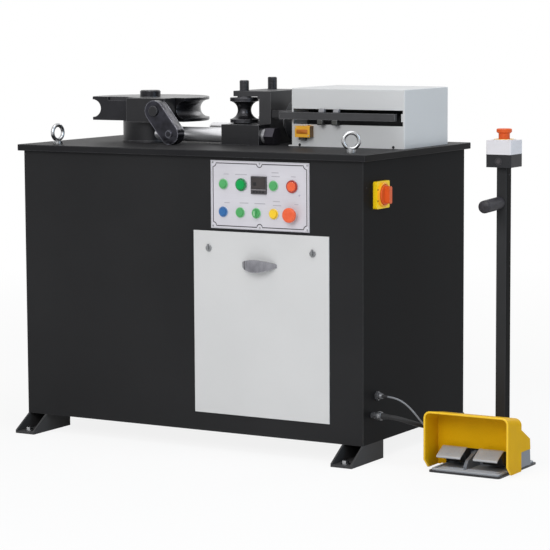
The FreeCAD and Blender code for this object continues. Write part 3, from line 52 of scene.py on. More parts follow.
def tone(code):
    # a screen colour such as "#373737" as linear red, green, blue, alpha
    parts = [int(code[i:i + 2], 16) / 255 for i in (1, 3, 5)]
    return [p / 12.92 if p <= 0.04045 else ((p + 0.055) / 1.055) ** 2.4 for p in parts] + [1.0]


# the camera stands where the picture was taken from
cameraSetup = {
    "lens": 152.93,
    "azimuth": 30.429,
    "elevation": 6.578,
    "roll": -0.295,
    "stand": (3.2528, -5.7081, 1.2182),
}


def makeCamera(setup):
    az, el, roll = (math.radians(setup[k]) for k in ("azimuth", "elevation", "roll"))
    ahead = Vector((-math.sin(az) * math.cos(el), math.cos(az) * math.cos(el), -math.sin(el)))
    right = Vector((math.cos(az), math.sin(az), 0))
    up = right.cross(ahead)
    rolledRight = right * math.cos(roll) + up * math.sin(roll)
    rolledUp = up * math.cos(roll) - right * math.sin(roll)
    data = bpy.data.cameras.new("studioCamera")
    data.lens = setup["lens"]
    data.sensor_width = 36
    data.clip_end = 60
    camera = bpy.data.objects.new("studioCamera", data)
    turn = Matrix((rolledRight, rolledUp, -ahead)).transposed().to_4x4()
    camera.matrix_world = Matrix.Translation(setup["stand"]) @ turn
    linkIn(camera)
    bpy.context.scene.camera = camera


makeCamera(cameraSetup)
bpy.context.scene.view_settings.view_transform = "Standard"


# material helpers


def addNode(tree, kind, **settings):
    made = tree.nodes.new("ShaderNode" + kind)
    for key, value in settings.items():
        setattr(made, key, value)
    return made


def feed(tree, socket, value):
    # a link from another node's output, or a fixed value
    if hasattr(value, "links"):
        tree.links.new(value, socket)
    else:
        socket.default_value = value


def feedAll(tree, node, values):
    for label, value in values.items():
        feed(tree, node.inputs[label], value)
    return node


def startGroup(name, inputs, outputs):
    group = bpy.data.node_groups.new(name, "ShaderNodeTree")
    for label, kind, value in inputs:
        socket = group.interface.new_socket(name=label, in_out="INPUT", socket_type="NodeSocket" + kind)
        socket.default_value = value
    for label in outputs:
        group.interface.new_socket(name=label, in_out="OUTPUT", socket_type="NodeSocketFloat")
    return group, group.nodes.new("NodeGroupInput").outputs, group.nodes.new("NodeGroupOutput").inputs


def objectSpot(tree):
    return addNode(tree, "TexCoord").outputs["Object"]


def noiseOn(tree, vector, scale, detail):
    made = feedAll(tree, addNode(tree, "TexNoise"), {"Detail": detail, "Vector": vector, "Scale": scale})
    return made.outputs["Fac"]


def mathOn(tree, operation, first, second=None, clamp=False):
    made = addNode(tree, "Math", operation=operation, use_clamp=clamp)
    feed(tree, made.inputs[0], first)
    if second is not None:
        feed(tree, made.inputs[1], second)
    return made.outputs[0]


def vectorOn(tree, operation, *values):
    # the outcome is a number for a length or a dot product
    made = addNode(tree, "VectorMath", operation=operation)
    for socket, value in zip(made.inputs, values):
        feed(tree, socket, value)
    return made.outputs["Value" if operation in ("LENGTH", "DOT_PRODUCT") else "Vector"]


def spreadOn(tree, value, span, reach):
    # stretches a span of values to another reach
    labels = ("Value", "From Min", "From Max", "To Min", "To Max")
    return feedAll(tree, addNode(tree, "MapRange"), dict(zip(labels, (value, *span, *reach)))).outputs[0]


def closeGrain(group, made, height, patches, share):
    # the shade is part fine grain and part slow patches
    group.links.new(height, made["Height"])
    parts = (mathOn(group, "MULTIPLY", height, share), mathOn(group, "MULTIPLY", patches, 1 - share))
    group.links.new(mathOn(group, "ADD", *parts), made["Shade"])
    return group


def powderGroup():
    # fine powder pebbles over slow mottling
    group, given, made = startGroup("powderGrain", [
        ("Pebble Scale", "Float", 900.0), ("Mottle Scale", "Float", 5.0)], ["Height", "Shade"])
    spot = objectSpot(group)
    pebbles = noiseOn(group, spot, given["Pebble Scale"], 3.0)
    mottle = noiseOn(group, spot, given["Mottle Scale"], 4.0)
    return closeGrain(group, made, pebbles, mottle, 0.35)


def turnedGroup():
    # rings left by a lathe tool about an axis, with slow patches of oil
    group, given, made = startGroup("turnedGrain", [
        ("Centre", "Vector", (0, 0, 0)), ("Flatten", "Vector", (1, 1, 0)),
        ("Ring Scale", "Float", 700.0), ("Patch Scale", "Float", 14.0)], ["Height", "Shade"])
    spot = objectSpot(group)
    away = vectorOn(group, "SUBTRACT", spot, given["Centre"])
    across = vectorOn(group, "MULTIPLY", away, given["Flatten"])
    along = vectorOn(group, "SUBTRACT", away, across)
    pair = addNode(group, "CombineXYZ")
    for socket, arm in zip(pair.inputs, (across, along)):
        group.links.new(vectorOn(group, "LENGTH", arm), socket)
    rings = noiseOn(group, pair.outputs[0], given["Ring Scale"], 2.0)
    patches = noiseOn(group, spot, given["Patch Scale"], 4.0)
    return closeGrain(group, made, rings, patches, 0.45)


def brushedGroup():
    # scratches drawn out along one direction
    group, given, made = startGroup("brushedGrain", [
        ("Squeeze", "Vector", (8, 700, 700)), ("Patch Scale", "Float", 12.0)], ["Height", "Shade"])
    spot = objectSpot(group)
    lines = noiseOn(group, vectorOn(group, "MULTIPLY", spot, given["Squeeze"]), 1.0, 3.0)
    patches = noiseOn(group, spot, given["Patch Scale"], 4.0)
    return closeGrain(group, made, lines, patches, 0.4)


def wearAndHighlightGroup():
    # rubbed edges and painted edge highlights: where a rounded normal leaves the face's own, broken up by
    # noise
    group, given, made = startGroup("edgeWearAndHighlight", [
        ("Edge Radius", "Float", 0.0012), ("Amount", "Float", 0.5), ("Break Up", "Float", 90.0)], ["Mask"])
    rounded = addNode(group, "Bevel", samples=4)
    group.links.new(given["Edge Radius"], rounded.inputs["Radius"])
    facing = addNode(group, "NewGeometry").outputs["Normal"]
    straight = vectorOn(group, "DOT_PRODUCT", rounded.outputs[0], facing)
    turned = mathOn(group, "SUBTRACT", 1.0, straight, True)
    patches = noiseOn(group, objectSpot(group), given["Break Up"], 3.0)
    rubbedAndHighlit = mathOn(group, "MULTIPLY", mathOn(group, "MULTIPLY", turned, 6.0, True), patches)
    group.links.new(mathOn(group, "MULTIPLY", rubbedAndHighlit, given["Amount"], True), made["Mask"])
    return group


def dustGroup():
    # a thin film that settles on faces that look up
    group, given, made = startGroup("settledDust", [
        ("Amount", "Float", 0.1), ("Cloud Scale", "Float", 16.0)], ["Mask"])
    split = addNode(group, "SeparateXYZ")
    group.links.new(addNode(group, "NewGeometry").outputs["Normal"], split.inputs[0])
    clouds = noiseOn(group, objectSpot(group), given["Cloud Scale"], 5.0)
    lying = mathOn(group, "MULTIPLY", mathOn(group, "MAXIMUM", split.outputs["Z"], 0.0), clouds)
    group.links.new(mathOn(group, "MULTIPLY", lying, given["Amount"], True), made["Mask"])
    return group


surfaceGroups = {
    "powder": powderGroup(),
    "turned": turnedGroup(),
    "brushed": brushedGroup(),
    "wearAndHighlight": wearAndHighlightGroup(),
    "dust": dustGroup(),
}


def placeGroup(tree, name, values):
    return feedAll(tree, addNode(tree, "Group", node_tree=surfaceGroups[name]), values)


def mixTone(tree, mask, below, above):
    made = addNode(tree, "Mix", data_type="RGBA")
    return feedAll(tree, made, {"Factor": mask, 6: below, 7: above}).outputs[2]


finishes = {}
grainSpan = (0.3, 0.7)
dustTone = "#8f8c88"
coatRoughness = 0.1


def makeFinish(name, look):
    material = bpy.data.materials.new(name)
    material.use_nodes = True
    tree = material.node_tree
    grain = placeGroup(tree, look["grain"], look["grainValues"])
    wearAndHighlight = placeGroup(tree, "wearAndHighlight", look["wearAndHighlightValues"])
    dust = placeGroup(tree, "dust", {"Amount": look["dust"]})
    dark, light = (tone(code) for code in look["tones"])
    shade = grain.outputs["Shade"]
    base = mixTone(tree, spreadOn(tree, shade, grainSpan, (0.0, 1.0)), dark, light)
    # the worn tone on the edges is partly real wear and partly painted edge highlight
    wornAndHighlit = mixTone(tree, wearAndHighlight.outputs["Mask"], base, tone(look["wornAndHighlightTone"]))
    for along, below, code in look["splits"]:
        # beyond a plane, the part has another tone: a second paint on some finishes, painted shade on others
        past = mathOn(tree, "LESS_THAN", vectorOn(tree, "DOT_PRODUCT", objectSpot(tree), along), below)
        wornAndHighlit = mixTone(tree, past, wornAndHighlit, tone(code))
    bump = feedAll(tree, addNode(tree, "Bump"), {
        "Strength": look["bump"], "Distance": look["bumpDepth"], "Height": grain.outputs["Height"]})
    feedAll(tree, tree.nodes["Principled BSDF"], {
        "Base Color": mixTone(tree, dust.outputs["Mask"], wornAndHighlit, tone(dustTone)),
        "Roughness": spreadOn(tree, shade, grainSpan, look["rough"]), "Normal": bump.outputs[0],
        "Metallic": look["metallic"], "Specular IOR Level": look["specular"], "Coat Weight": look["coat"],
        "Coat Roughness": coatRoughness,
    })
    material.diffuse_color = light
    finishes[name] = material


dieAxis = (-0.5165, -0.003, 0)
grainScales = {"powder": ("Pebble Scale", "Mottle Scale"), "turned": ("Centre", "Ring Scale"),
               "brushed": ("Squeeze",)}


def describe(dark, light, rough, scales, bump, wearAndHighlight, wornAndHighlit, dust=0.0, grain="powder", breakUp=90.0, **more):
    # scales are those of the grain; the edge wear and painted edge highlight is given as the edge radius in
    # metres and the amount
    return {"bumpDepth": 0.0003, "metallic": 0.0, "specular": 0.5, "coat": 0.0, "splits": (),
            "tones": (dark, light), "rough": rough, "grain": grain,
            "grainValues": dict(zip(grainScales[grain], scales)), "bump": bump,
            "wearAndHighlightValues": {"Edge Radius": wearAndHighlight[0], "Amount": wearAndHighlight[1], "Break Up": breakUp},
            "wornAndHighlightTone": wornAndHighlit, "dust": dust, **more}


finishLooks = {
    "charcoalPowder": describe("#262627", "#2f2f30", (0.44, 0.54), (850, 2.2), 0.25, (0.0015, 0.45),
        "#6b6b6b", 0.04, specular=0.035),
    # the cabinet shell in a darker copy of the front's powder: painted shade for its right wall
    "shellPowderShaded": describe("#141415", "#1b1b1c", (0.46, 0.56), (850, 2.2), 0.25, (0.0015, 0.45), "#5c5c5c",
        0.03, specular=0.03),
    # the feet in a lighter copy of the cabinet's powder: painted fill light in their shaded insides
    "feetPaintLit": describe("#3a3a3b", "#444445", (0.44, 0.54), (850, 6), 0.25, (0.0015, 0.6), "#747474",
        0.04, specular=0.05),
    # beyond x 362 mm the table's right edge face is painted near black: painted shade
    "tablePaint": describe("#202022", "#29292a", (0.4, 0.52), (700, 4), 0.2, (0.002, 0.7), "#77777a", 0.03,
        specular=0.05, splits=[((-1, 0, 0), -0.362, "#0d0d0e")]),
    "carriagePaint": describe("#343436", "#404042", (0.34, 0.46), (700, 12), 0.2, (0.0015, 0.8), "#97979a",
        0.04, specular=0.2),
    # the rail's left end, short of x -82.5 mm, is painted darker: painted shade, as a bracket in shadow; its
    # bright edges are painted highlight along with wear
    "railSteel": describe("#3a3a3c", "#464648", (0.3, 0.42), ((12, 500, 500),), 0.12, (0.0015, 1.0),
        "#a9a9ad", grain="brushed", metallic=0.3, specular=0.3, splits=[((1, 0, 0), -0.0825, "#29292b")]),
    "rodEndSteel": describe("#dcdce0", "#f0f0f2", (0.28, 0.38), ((400, 30, 30),), 0.04, (0.0012, 0.3),
        "#e8e8ec", 0.02, grain="brushed", metallic=0.8, splits=[((-1, 0, 0), 0.0968, "#45434a")]),
    # its strong bright edges are painted rim highlight as well as wear
    "cylinderBlack": describe("#252628", "#303134", (0.34, 0.46), (700, 8), 0.2, (0.002, 1.0), "#a5a5aa",
        0.04, specular=0.25),
    "steelBlack": describe("#202022", "#2c2c2f", (0.3, 0.42), ((20, 500, 500),), 0.15, (0.0015, 0.9),
        "#a9a9ad", 0.02, grain="brushed", metallic=0.55),
    # the arm's light patches and bright edges are painted highlights on the dark steel
    "armSteel": describe("#1c1c1f", "#3c3c44", (0.14, 0.3), (42, 34), 0.55, (0.005, 0.9), "#b4b4c0",
        breakUp=45.0, metallic=0.85, bumpDepth=0.0022),
    "steelTurnedDie": describe("#222224", "#323236", (0.22, 0.34), (dieAxis, 650), 0.2, (0.0015, 0.9),
        "#b5b5ba", 0.02, grain="turned", metallic=0.8),
    "steelTurnedFront": describe("#29292b", "#3e3e42", (0.2, 0.32), ((-0.2035, 0.009, 0), 800), 0.2,
        (0.0012, 0.9), "#b5b5ba", 0.02, grain="turned", metallic=0.8),
    "steelTurnedRear": describe("#29292b", "#3e3e42", (0.2, 0.32), ((-0.2035, 0.167, 0), 800), 0.2,
        (0.0012, 0.9), "#b5b5ba", 0.02, grain="turned", metallic=0.8),
    "steelBright": describe("#8d8d92", "#bcbcc2", (0.22, 0.34), (dieAxis, 800), 0.15, (0.0012, 0.5),
        "#dcdce0", 0.02, grain="turned", metallic=1.0),
    "dogSteel": describe("#76767a", "#8c8c90", (0.34, 0.46), ((300, 300, 300),), 0.1, (0.0012, 0.5),
        "#b8b8bc", 0.02, grain="brushed", metallic=0.3),
    "dogDark": describe("#3c3d3b", "#4a4b49", (0.3, 0.42), ((300, 300, 300),), 0.1, (0.0014, 1.0),
        "#c4c4c8", 0.02, grain="brushed", metallic=0.4),
    "chromeRod": describe("#dcdce0", "#f0f0f2", (0.28, 0.38), ((400, 30, 30),), 0.04, (0.0012, 0.3),
        "#e8e8ec", 0.02, grain="brushed", metallic=0.8),
    "chromeHandle": describe("#6c6c72", "#a2a2a8", (0.06, 0.12), ((40, 300, 40),), 0.03, (0.0012, 0.3),
        "#eeeef0", grain="brushed", metallic=1.0),
    "zincPlate": describe("#8f9092", "#c6c7c9", (0.2, 0.32), ((300, 300, 300),), 0.1, (0.0012, 0.5),
        "#e2e2e4", 0.03, grain="brushed", metallic=1.0),
    "glandMetal": describe("#4c4d50", "#77787b", (0.3, 0.42), ((300, 300, 300),), 0.1, (0.0012, 0.5),
        "#a8a8ac", 0.03, grain="brushed", metallic=0.6),
    "lockZinc": describe("#707274", "#9a9c9e", (0.24, 0.36), ((300, 300, 300),), 0.1, (0.0012, 0.6),
        "#d2d2d4", grain="brushed", metallic=0.9),
    "coverPaint": describe("#c8c9ca", "#d0d1d2", (0.42, 0.52), (800, 4), 0.15, (0.0015, 0.35), "#eeeeee",
        0.04, specular=0.3),
    "doorPaint": describe("#cbcbcb", "#d2d2d2", (0.42, 0.52), (800, 4), 0.15, (0.0015, 0.3), "#eeeeee",
        0.02, specular=0.3),
    "panelPlate": describe("#c9c6cd", "#d3d1d7", (0.3, 0.4), ((12, 600, 600),), 0.06, (0.001, 0.5),
        "#f4f4f4", grain="brushed", specular=0.4),
    "lidPaint": describe("#cfcdd1", "#dad8dc", (0.34, 0.44), (800, 14), 0.12, (0.001, 0.4), "#f6f6f6",
        specular=0.4),
    "panelRim": describe("#a5a4aa", "#bcbac2", (0.28, 0.38), ((12, 600, 600),), 0.06, (0.001, 0.8),
        "#f0f0f2", grain="brushed", metallic=0.6),
    "panelInk": describe("#2c2a30", "#38363c", (0.4, 0.5), (900, 30), 0.05, (0.0004, 0.2), "#8a888e",
        specular=0.3),
    "meterLine": describe("#8c878a", "#a19c9f", (0.3, 0.4), (900, 60), 0.05, (0.0004, 0.2), "#c8c6cc",
        specular=0.3),
    "legendGrey": describe("#a5a2aa", "#b4b1b8", (0.4, 0.5), (900, 60), 0.05, (0.0004, 0.2), "#c8c6cc",
        specular=0.3),
    "hoodYellow": describe("#d2a008", "#e2b00e", (0.38, 0.5), (600, 9), 0.15, (0.0012, 0.5), "#f9dc6a",
        specular=0.04),
    "hoodLip": describe("#eebd26", "#f6ca3c", (0.3, 0.42), (600, 9), 0.1, (0.0012, 0.5), "#fde58a", 0.02,
        specular=0.15),
    "switchYellow": describe("#f8cc0a", "#ffd71c", (0.3, 0.4), (900, 20), 0.1, (0.0008, 0.3), "#fbe070",
        specular=0.25, splits=[((-1, 0, 0), -0.3603, "#f3a51e")]),
    "collarYellow": describe("#eea41c", "#f7b42a", (0.28, 0.4), (900, 25), 0.08, (0.0008, 0.4), "#fcd878",
        specular=0.3),
    # below z 854.9 mm the limit switch is painted near black, and beyond x 59.2 mm dark brown: painted shade
    # under and beside it
    "limitYellow": describe("#e4a426", "#f0b638", (0.36, 0.46), (700, 20), 0.15, (0.0008, 0.4), "#f6d070",
        0.02, specular=0.4, splits=[((0, 0, 1), 0.8549, "#2a2420"), ((-1, 0, 0), -0.0592, "#6b4a20")]),
    "limitLabel": describe("#a85a10", "#bd6d1c", (0.4, 0.5), (700, 80), 0.1, (0.0005, 0.3), "#e09a50",
        specular=0.3),
    "orangeRed": describe("#d0521c", "#dd5f26", (0.3, 0.42), (900, 25), 0.08, (0.0008, 0.3), "#f58a66",
        specular=0.25),
    "capGreen": describe("#0f9548", "#1ba154", (0.3, 0.42), (900, 40), 0.05, (0.0006, 0.3), "#7fe0b0",
        specular=0.12),
    "lensGreen": describe("#4a9e5c", "#5cac6c", (0.28, 0.4), (900, 40), 0.05, (0.0006, 0.4), "#b4dcb8",
        specular=0.15),
    "bezelGreen": describe("#157040", "#1f8a52", (0.24, 0.36), (900, 40), 0.05, (0.0006, 0.5), "#58b888",
        specular=0.4, coat=0.2),
    "capBlue": describe("#2f629c", "#3f70a8", (0.28, 0.4), (900, 40), 0.05, (0.0006, 0.3), "#86b6ec",
        specular=0.15),
    "capYellow": describe("#eec012", "#f5cd28", (0.22, 0.34), (900, 40), 0.05, (0.0006, 0.3), "#fce880",
        specular=0.4, coat=0.2),
    "capRed": describe("#e0552a", "#ec6638", (0.22, 0.34), (900, 40), 0.05, (0.0006, 0.3), "#f69078",
        specular=0.4, coat=0.2),
    "bezelHalo": describe("#6cb87a", "#84c68e", (0.24, 0.36), (900, 40), 0.05, (0.0006, 0.6), "#c2e6cc",
        specular=0.3, coat=0.2),
    "bezelHaloBlue": describe("#4f79ae", "#6589b8", (0.24, 0.36), (900, 40), 0.05, (0.0006, 0.6), "#b4cbea",
        specular=0.3, coat=0.2),
    "bezelHaloYellow": describe("#ecc531", "#f4d352", (0.24, 0.36), (900, 40), 0.05, (0.0006, 0.6),
        "#fbeeb0", specular=0.3, coat=0.2),
    "bezelRed": describe("#96281c", "#ac3424", (0.24, 0.36), (900, 40), 0.05, (0.0006, 0.5), "#d86a54",
        specular=0.4, coat=0.2),
    "markWhite": describe("#b4dcb4", "#c6e6c4", (0.3, 0.4), (900, 60), 0.05, (0.0005, 0.2), "#ffffff",
        specular=0.4),
    "blackMoulding": describe("#232325", "#2f2f31", (0.36, 0.48), (900, 20), 0.15, (0.0008, 0.5), "#5a5a5c",
        0.02, specular=0.14),
    "meterGrey": describe("#3f3c3e", "#4a4749", (0.36, 0.48), (900, 30), 0.1, (0.0006, 0.5), "#8a8a8c",
        specular=0.2),
    "meterGlass": describe("#352f30", "#3f3a39", (0.1, 0.18), (300, 30), 0.02, (0.0004, 0.2), "#505054",
        specular=0.25, coat=0.1),
    # beyond x 668.2 mm the post's right face is painted near black: painted shade
    "postPaint": describe("#2f2f30", "#39393a", (0.44, 0.54), (900, 6), 0.15, (0.0015, 0.7), "#626264",
        0.02, specular=0.03, splits=[((-1, 0, 0), -0.6682, "#0a0a0b")]),
    "basePaint": describe("#242426", "#303032", (0.4, 0.5), (700, 10), 0.2, (0.001, 0.6), "#707074", 0.05,
        specular=0.3, splits=[((0, 0, -1), -0.0052, "#9a9da2")]),
    "trayRib": describe("#a4a7ac", "#b6b9be", (0.36, 0.46), (800, 14), 0.15, (0.0008, 0.5), "#dcdce0", 0.05,
        specular=0.4),
    "switchBlueGrey": describe("#6c7077", "#7c8087", (0.36, 0.46), (800, 14), 0.15, (0.0008, 0.4),
        "#c8ccd8", 0.04, specular=0.4),
    "pedalSteel": describe("#a4a6a9", "#b4b6b9", (0.34, 0.46), (500, 16), 0.3, (0.001, 0.7), "#dcdcde",
        metallic=0.1),
    "gripFoam": describe("#0f0e11", "#302e35", (0.36, 0.54), (260, 95), 0.7, (0.001, 0.2), "#6a6870", 0.03,
        specular=0.35, bumpDepth=0.0008),
    "pedalShell": describe("#262627", "#343436", (0.4, 0.52), (700, 30), 0.2, (0.0015, 0.7), "#77777b",
        0.05, specular=0.3),
    "pilotGrey": describe("#a3a0ac", "#b4b1bc", (0.2, 0.3), (900, 40), 0.05, (0.0006, 0.4), "#d8d6de",
        specular=0.4),
    "rubberBlack": describe("#262627", "#333334", (0.6, 0.74), (500, 30), 0.4, (0.001, 0.3), "#48484a",
        0.06, specular=0.2),
    "cableGrey": describe("#6e7074", "#85878c", (0.42, 0.54), (900, 30), 0.1, (0.0005, 0.1), "#a0a0a4",
        0.08, specular=0.4),
    "machineGrey": describe("#3c4044", "#4a4e52", (0.42, 0.54), (600, 8), 0.25, (0.002, 0.9), "#b0b4b8",
        0.08, specular=0.3),
}
for finishName, look in finishLooks.items():
    makeFinish(finishName, look)
print("finishes made:", len(finishes))

nodeFinish = {
    "cabinet_front": "charcoalPowder", "cabinet_shell": "shellPowderShaded", "table_plate": "tablePaint",
    "feet": "feetPaintLit", "foot_bolts": "zincPlate", "eye_bolts": "zincPlate",
    "spindle_housing": "steelBlack",
    "spindle": "steelBright", "bending_die": "steelTurnedDie", "die_nut": "steelTurnedDie",
    "clamp_block": "steelBlack", "arm_pivot_pin": "steelBlack", "clamp_arm": "armSteel",
    "guide_rods": "rodEndSteel", "rod_blocks": "steelBlack", "carriage_frame": "carriagePaint",
    "front_roller": "steelTurnedFront", "rear_roller": "steelTurnedRear",
    "front_roller_pin": "steelTurnedFront", "rear_roller_pin": "steelTurnedRear",
    "dog_rail": "railSteel", "trip_dogs": "dogSteel", "cylinder": "cylinderBlack",
    "piston_rod": "chromeRod", "cylinder_mount": "coverPaint", "box_cover": "coverPaint",
    "limit_switch": "limitYellow", "limit_switch_plunger": "zincPlate", "door": "doorPaint",
    "left_door_lock": "lockZinc", "right_door_lock": "lockZinc", "door_handle": "chromeHandle",
    "control_panel": "panelPlate", "instrument": "meterGrey", "main_switch_box": "switchYellow",
    "main_switch_handle": "orangeRed", "cable_glands": "glandMetal", "pedal_base": "basePaint",
    "pedal_hood": "hoodYellow", "pedal_body": "switchBlueGrey", "left_pedal": "pedalSteel",
    "right_pedal": "pedalSteel", "post": "postPaint", "stop_box": "blackMoulding",
    "stop_lid": "lidPaint", "stop_button": "orangeRed", "post_grip": "rubberBlack",
    "gear_reducer": "machineGrey", "power_unit": "machineGrey", "left_green_button": "lensGreen",
    "large_green_button": "capGreen", "right_green_button": "lensGreen", "red_button": "capRed",
    "blue_button": "capBlue", "green_button": "lensGreen", "selector_knob": "lensGreen",
    "yellow_button": "capYellow", "stop_mushroom": "capRed",
}
for nodeName, finishName in nodeFinish.items():
    for holder in cadNodes[nodeName].material_slots:
        holder.material = finishes[finishName]


# plain studio: white floor, white surroundings, four soft lamps


def straightLooks(tree):
    # 1 for what the camera, mirrors and glass see, 0 for light that spreads
    path = addNode(tree, "LightPath").outputs
    seen = mathOn(tree, "MAXIMUM", path["Is Camera Ray"], path["Is Glossy Ray"])
    return mathOn(tree, "MAXIMUM", seen, path["Is Transmission Ray"])


stageSetup = {
    "floorReach": 40.0,
    "floorGrey": 0.84,
    "fade": (1.2, 4.5),
    "floorShare": 0.86,
    "worldLight": 0.4,
    "lamps": {
        "frontSoftbox": {"stand": (0.9, -4.8, 3.0), "aim": (0.0, 0.0, 0.5), "size": (3.4, 2.6), "watts": 130,
                         "tint": (1.0, 1.0, 1.0)},
        "topSoftbox": {"stand": (0.2, -0.6, 4.2), "aim": (0.0, 0.0, 0.8), "size": (3.0, 2.2), "watts": 54,
                       "tint": (1.0, 1.0, 1.0)},
        "rightSoftbox": {"stand": (5.0, -1.0, 2.4), "aim": (0.2, 0.0, 0.6), "size": (2.6, 2.6), "watts": 54,
                         "tint": (0.54, 0.78, 1.0)},
        "rearSoftbox": {"stand": (0.6, 5.2, 3.0), "aim": (0.0, 0.0, 0.5), "size": (3.0, 2.0), "watts": 50,
                        "tint": (1.0, 1.0, 1.0)},
    },
}


def makeStage(setup):
    reach = setup["floorReach"]
    mesh = bpy.data.meshes.new("studioFloor")
    corners = [(-reach, -reach, 0), (reach, -reach, 0), (reach, reach, 0), (-reach, reach, 0)]
    mesh.from_pydata(corners, [], [(0, 1, 2, 3)])
    floor = linkIn(bpy.data.objects.new("studioFloor", mesh))
    material = bpy.data.materials.new("floorWhite")
    material.use_nodes = True
    tree = material.node_tree
    tree.nodes.remove(tree.nodes["Principled BSDF"])
    matt = addNode(tree, "BsdfDiffuse")
    grey = setup["floorGrey"]
    matt.inputs["Color"].default_value = (grey, grey, grey, 1)
    glow = addNode(tree, "Emission")
    mix = addNode(tree, "MixShader")
    away = vectorOn(tree, "LENGTH", objectSpot(tree))
    share = spreadOn(tree, away, setup["fade"], (setup["floorShare"], 1.0))
    parts = (mathOn(tree, "MULTIPLY", straightLooks(tree), share), matt.outputs[0], glow.outputs[0])
    for socket, part in zip(mix.inputs, parts):
        tree.links.new(part, socket)
    tree.links.new(mix.outputs[0], tree.nodes["Material Output"].inputs[0])
    mesh.materials.append(material)
    world = bpy.data.worlds.new("studioWorld")
    bpy.context.scene.world = world
    world.use_nodes = True
    tree = world.node_tree
    back = tree.nodes["Background"]
    back.inputs["Color"].default_value = (1, 1, 1, 1)
    lift = mathOn(tree, "MULTIPLY", straightLooks(tree), 1.0 - setup["worldLight"])
    tree.links.new(mathOn(tree, "ADD", lift, setup["worldLight"]), back.inputs["Strength"])
    for name, lamp in setup["lamps"].items():
        data = bpy.data.lights.new(name, "AREA")
        data.shape = "RECTANGLE"
        data.size, data.size_y = lamp["size"]
        data.energy = lamp["watts"]
        data.color = lamp["tint"]
        light = linkIn(bpy.data.objects.new(name, data))
        light.location = lamp["stand"]
        gaze = Vector(lamp["aim"]) - Vector(lamp["stand"])
        light.rotation_euler = gaze.to_track_quat("-Z", "Y").to_euler()


makeStage(stageSetup)
print("stage and lamps placed")


def bakeMesh(piece):
    # the mesh a piece shows once its modifiers or its curve are worked out
    graph = bpy.context.evaluated_depsgraph_get()
    return bpy.data.meshes.new_from_object(piece.evaluated_get(graph), depsgraph=graph)


def settle(piece, body, finish=None):
    # links a finished piece, gives it its material and body
    if piece.name not in bpy.context.scene.collection.objects:
        linkIn(piece)
    if finish:
        piece.data.materials.clear()
        piece.data.materials.append(finishes[finish])
    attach(piece, body)
    return piece


# the two leads between cabinet, foot switch and post
cableSetup = {
    "start": (366.5, -228, 176),
    "steps": [(0, 0, 0), (19, 0, 0), (47, 2, -5), (70, 6, -19), (88, 10, -37), (102, 15, -56),
              (113, 27, -75), (118, 44, -93), (121, 62, -110), (126, 78, -125), (136, 90, -135),
              (151, 95, -140)],
    "end": (531.5, -133, 36),
    "diameter": 5.0,
    "length": 0.270,
}
conduitSetup = {
    "start": (379.5, -255, 127),
    "steps": [(0, 0, 0), (24, 0, 0), (47, 6, -4), (67, 18, -11), (83, 37, -20), (92, 63, -28),
              (102, 91, -35), (119, 121, -43), (144, 147, -51), (175, 164, -57), (208, 170, -62),
              (232, 170, -65)],
    "end": (632.5, -85, 62),
    "diameter": 12.5,
    "length": 0.344,
}


def drawCurve(name, kind, route, radius, rounds):
    data = bpy.data.curves.new(name, "CURVE")
    data.dimensions = "3D"
    data.bevel_depth = radius
    data.bevel_resolution = rounds
    data.use_fill_caps = True
    spline = data.splines.new(kind)
    spline.points.add(len(route) - 1)
    for point, spot in zip(spline.points, route):
        point.co = (*spot, 1.0)
    return data, spline


def makeLead(name, setup, finish):
    start = Vector(setup["start"])
    route = [(start + Vector(step)) * mm for step in setup["steps"]] + [Vector(setup["end"]) * mm]
    data, spline = drawCurve(name, "NURBS", route, setup["diameter"] * mm / 2, 5)
    spline.order_u = 3
    spline.use_endpoint_u = True
    spline.resolution_u = 8
    data.resolution_u = 8
    return settle(bpy.data.objects.new(name, data), "root", finish)


# shaping helpers, in millimetres; each facing turns a form's own up towards one side of the machine

facings = {
    "up": Matrix.Identity(3),
    "front": Matrix(((1, 0, 0), (0, 0, -1), (0, 1, 0))),
    "right": Matrix(((0, 0, 1), (1, 0, 0), (0, 1, 0))),
    "back": Matrix(((-1, 0, 0), (0, 0, 1), (0, 1, 0))),
}


def ringAt(bm, centre, facing, spots, height):
    turn = facings[facing]
    return [bm.verts.new((Vector(centre) + turn @ Vector((x, y, height))) * mm) for x, y in spots]


def circleSpots(radius, count):
    if radius <= 0:
        return [(0, 0)]
    angles = [2 * math.pi * i / count for i in range(count)]
    return [(radius * math.cos(a), radius * math.sin(a)) for a in angles]


def roundedSpots(wide, high, radius, steps=4):
    spots = []
    for cx, cy, start in ((1, 1, 0), (-1, 1, 90), (-1, -1, 180), (1, -1, 270)):
        for k in range(steps + 1):
            angle = math.radians(start + 90 * k / steps)
            spots.append((cx * (wide / 2 - radius) + radius * math.cos(angle),
                          cy * (high / 2 - radius) + radius * math.sin(angle)))
    return spots


def wallBetween(bm, low, high):
    count = max(len(low), len(high))
    for i in range(count):
        j = (i + 1) % count
        corners = (low[i % len(low)], low[j % len(low)], high[j % len(high)], high[i % len(high)])
        bm.faces.new(list(dict.fromkeys(corners)))


def spin(bm, profile, centre, facing, segments=32, tube=False):
    # a turned form: profile is radius and height, from axis to axis, or round a tube's wall
    rings = [ringAt(bm, centre, facing, circleSpots(r, segments), h) for r, h in profile]
    for low, high in zip(rings, rings[1:]):
        wallBetween(bm, low, high)
    if tube:
        wallBetween(bm, rings[-1], rings[0])


def slab(bm, centre, facing, wide, high, radius, levels):
    # a round-cornered plate: levels are inset and height, lowest first
    rings = [ringAt(bm, centre, facing,
                    roundedSpots(wide - 2 * inset, high - 2 * inset, max(radius - inset, 0.1)), height)
             for inset, height in levels]
    for lower, upper in zip(rings, rings[1:]):
        wallBetween(bm, lower, upper)
    bm.faces.new(rings[0])
    bm.faces.new(rings[-1])


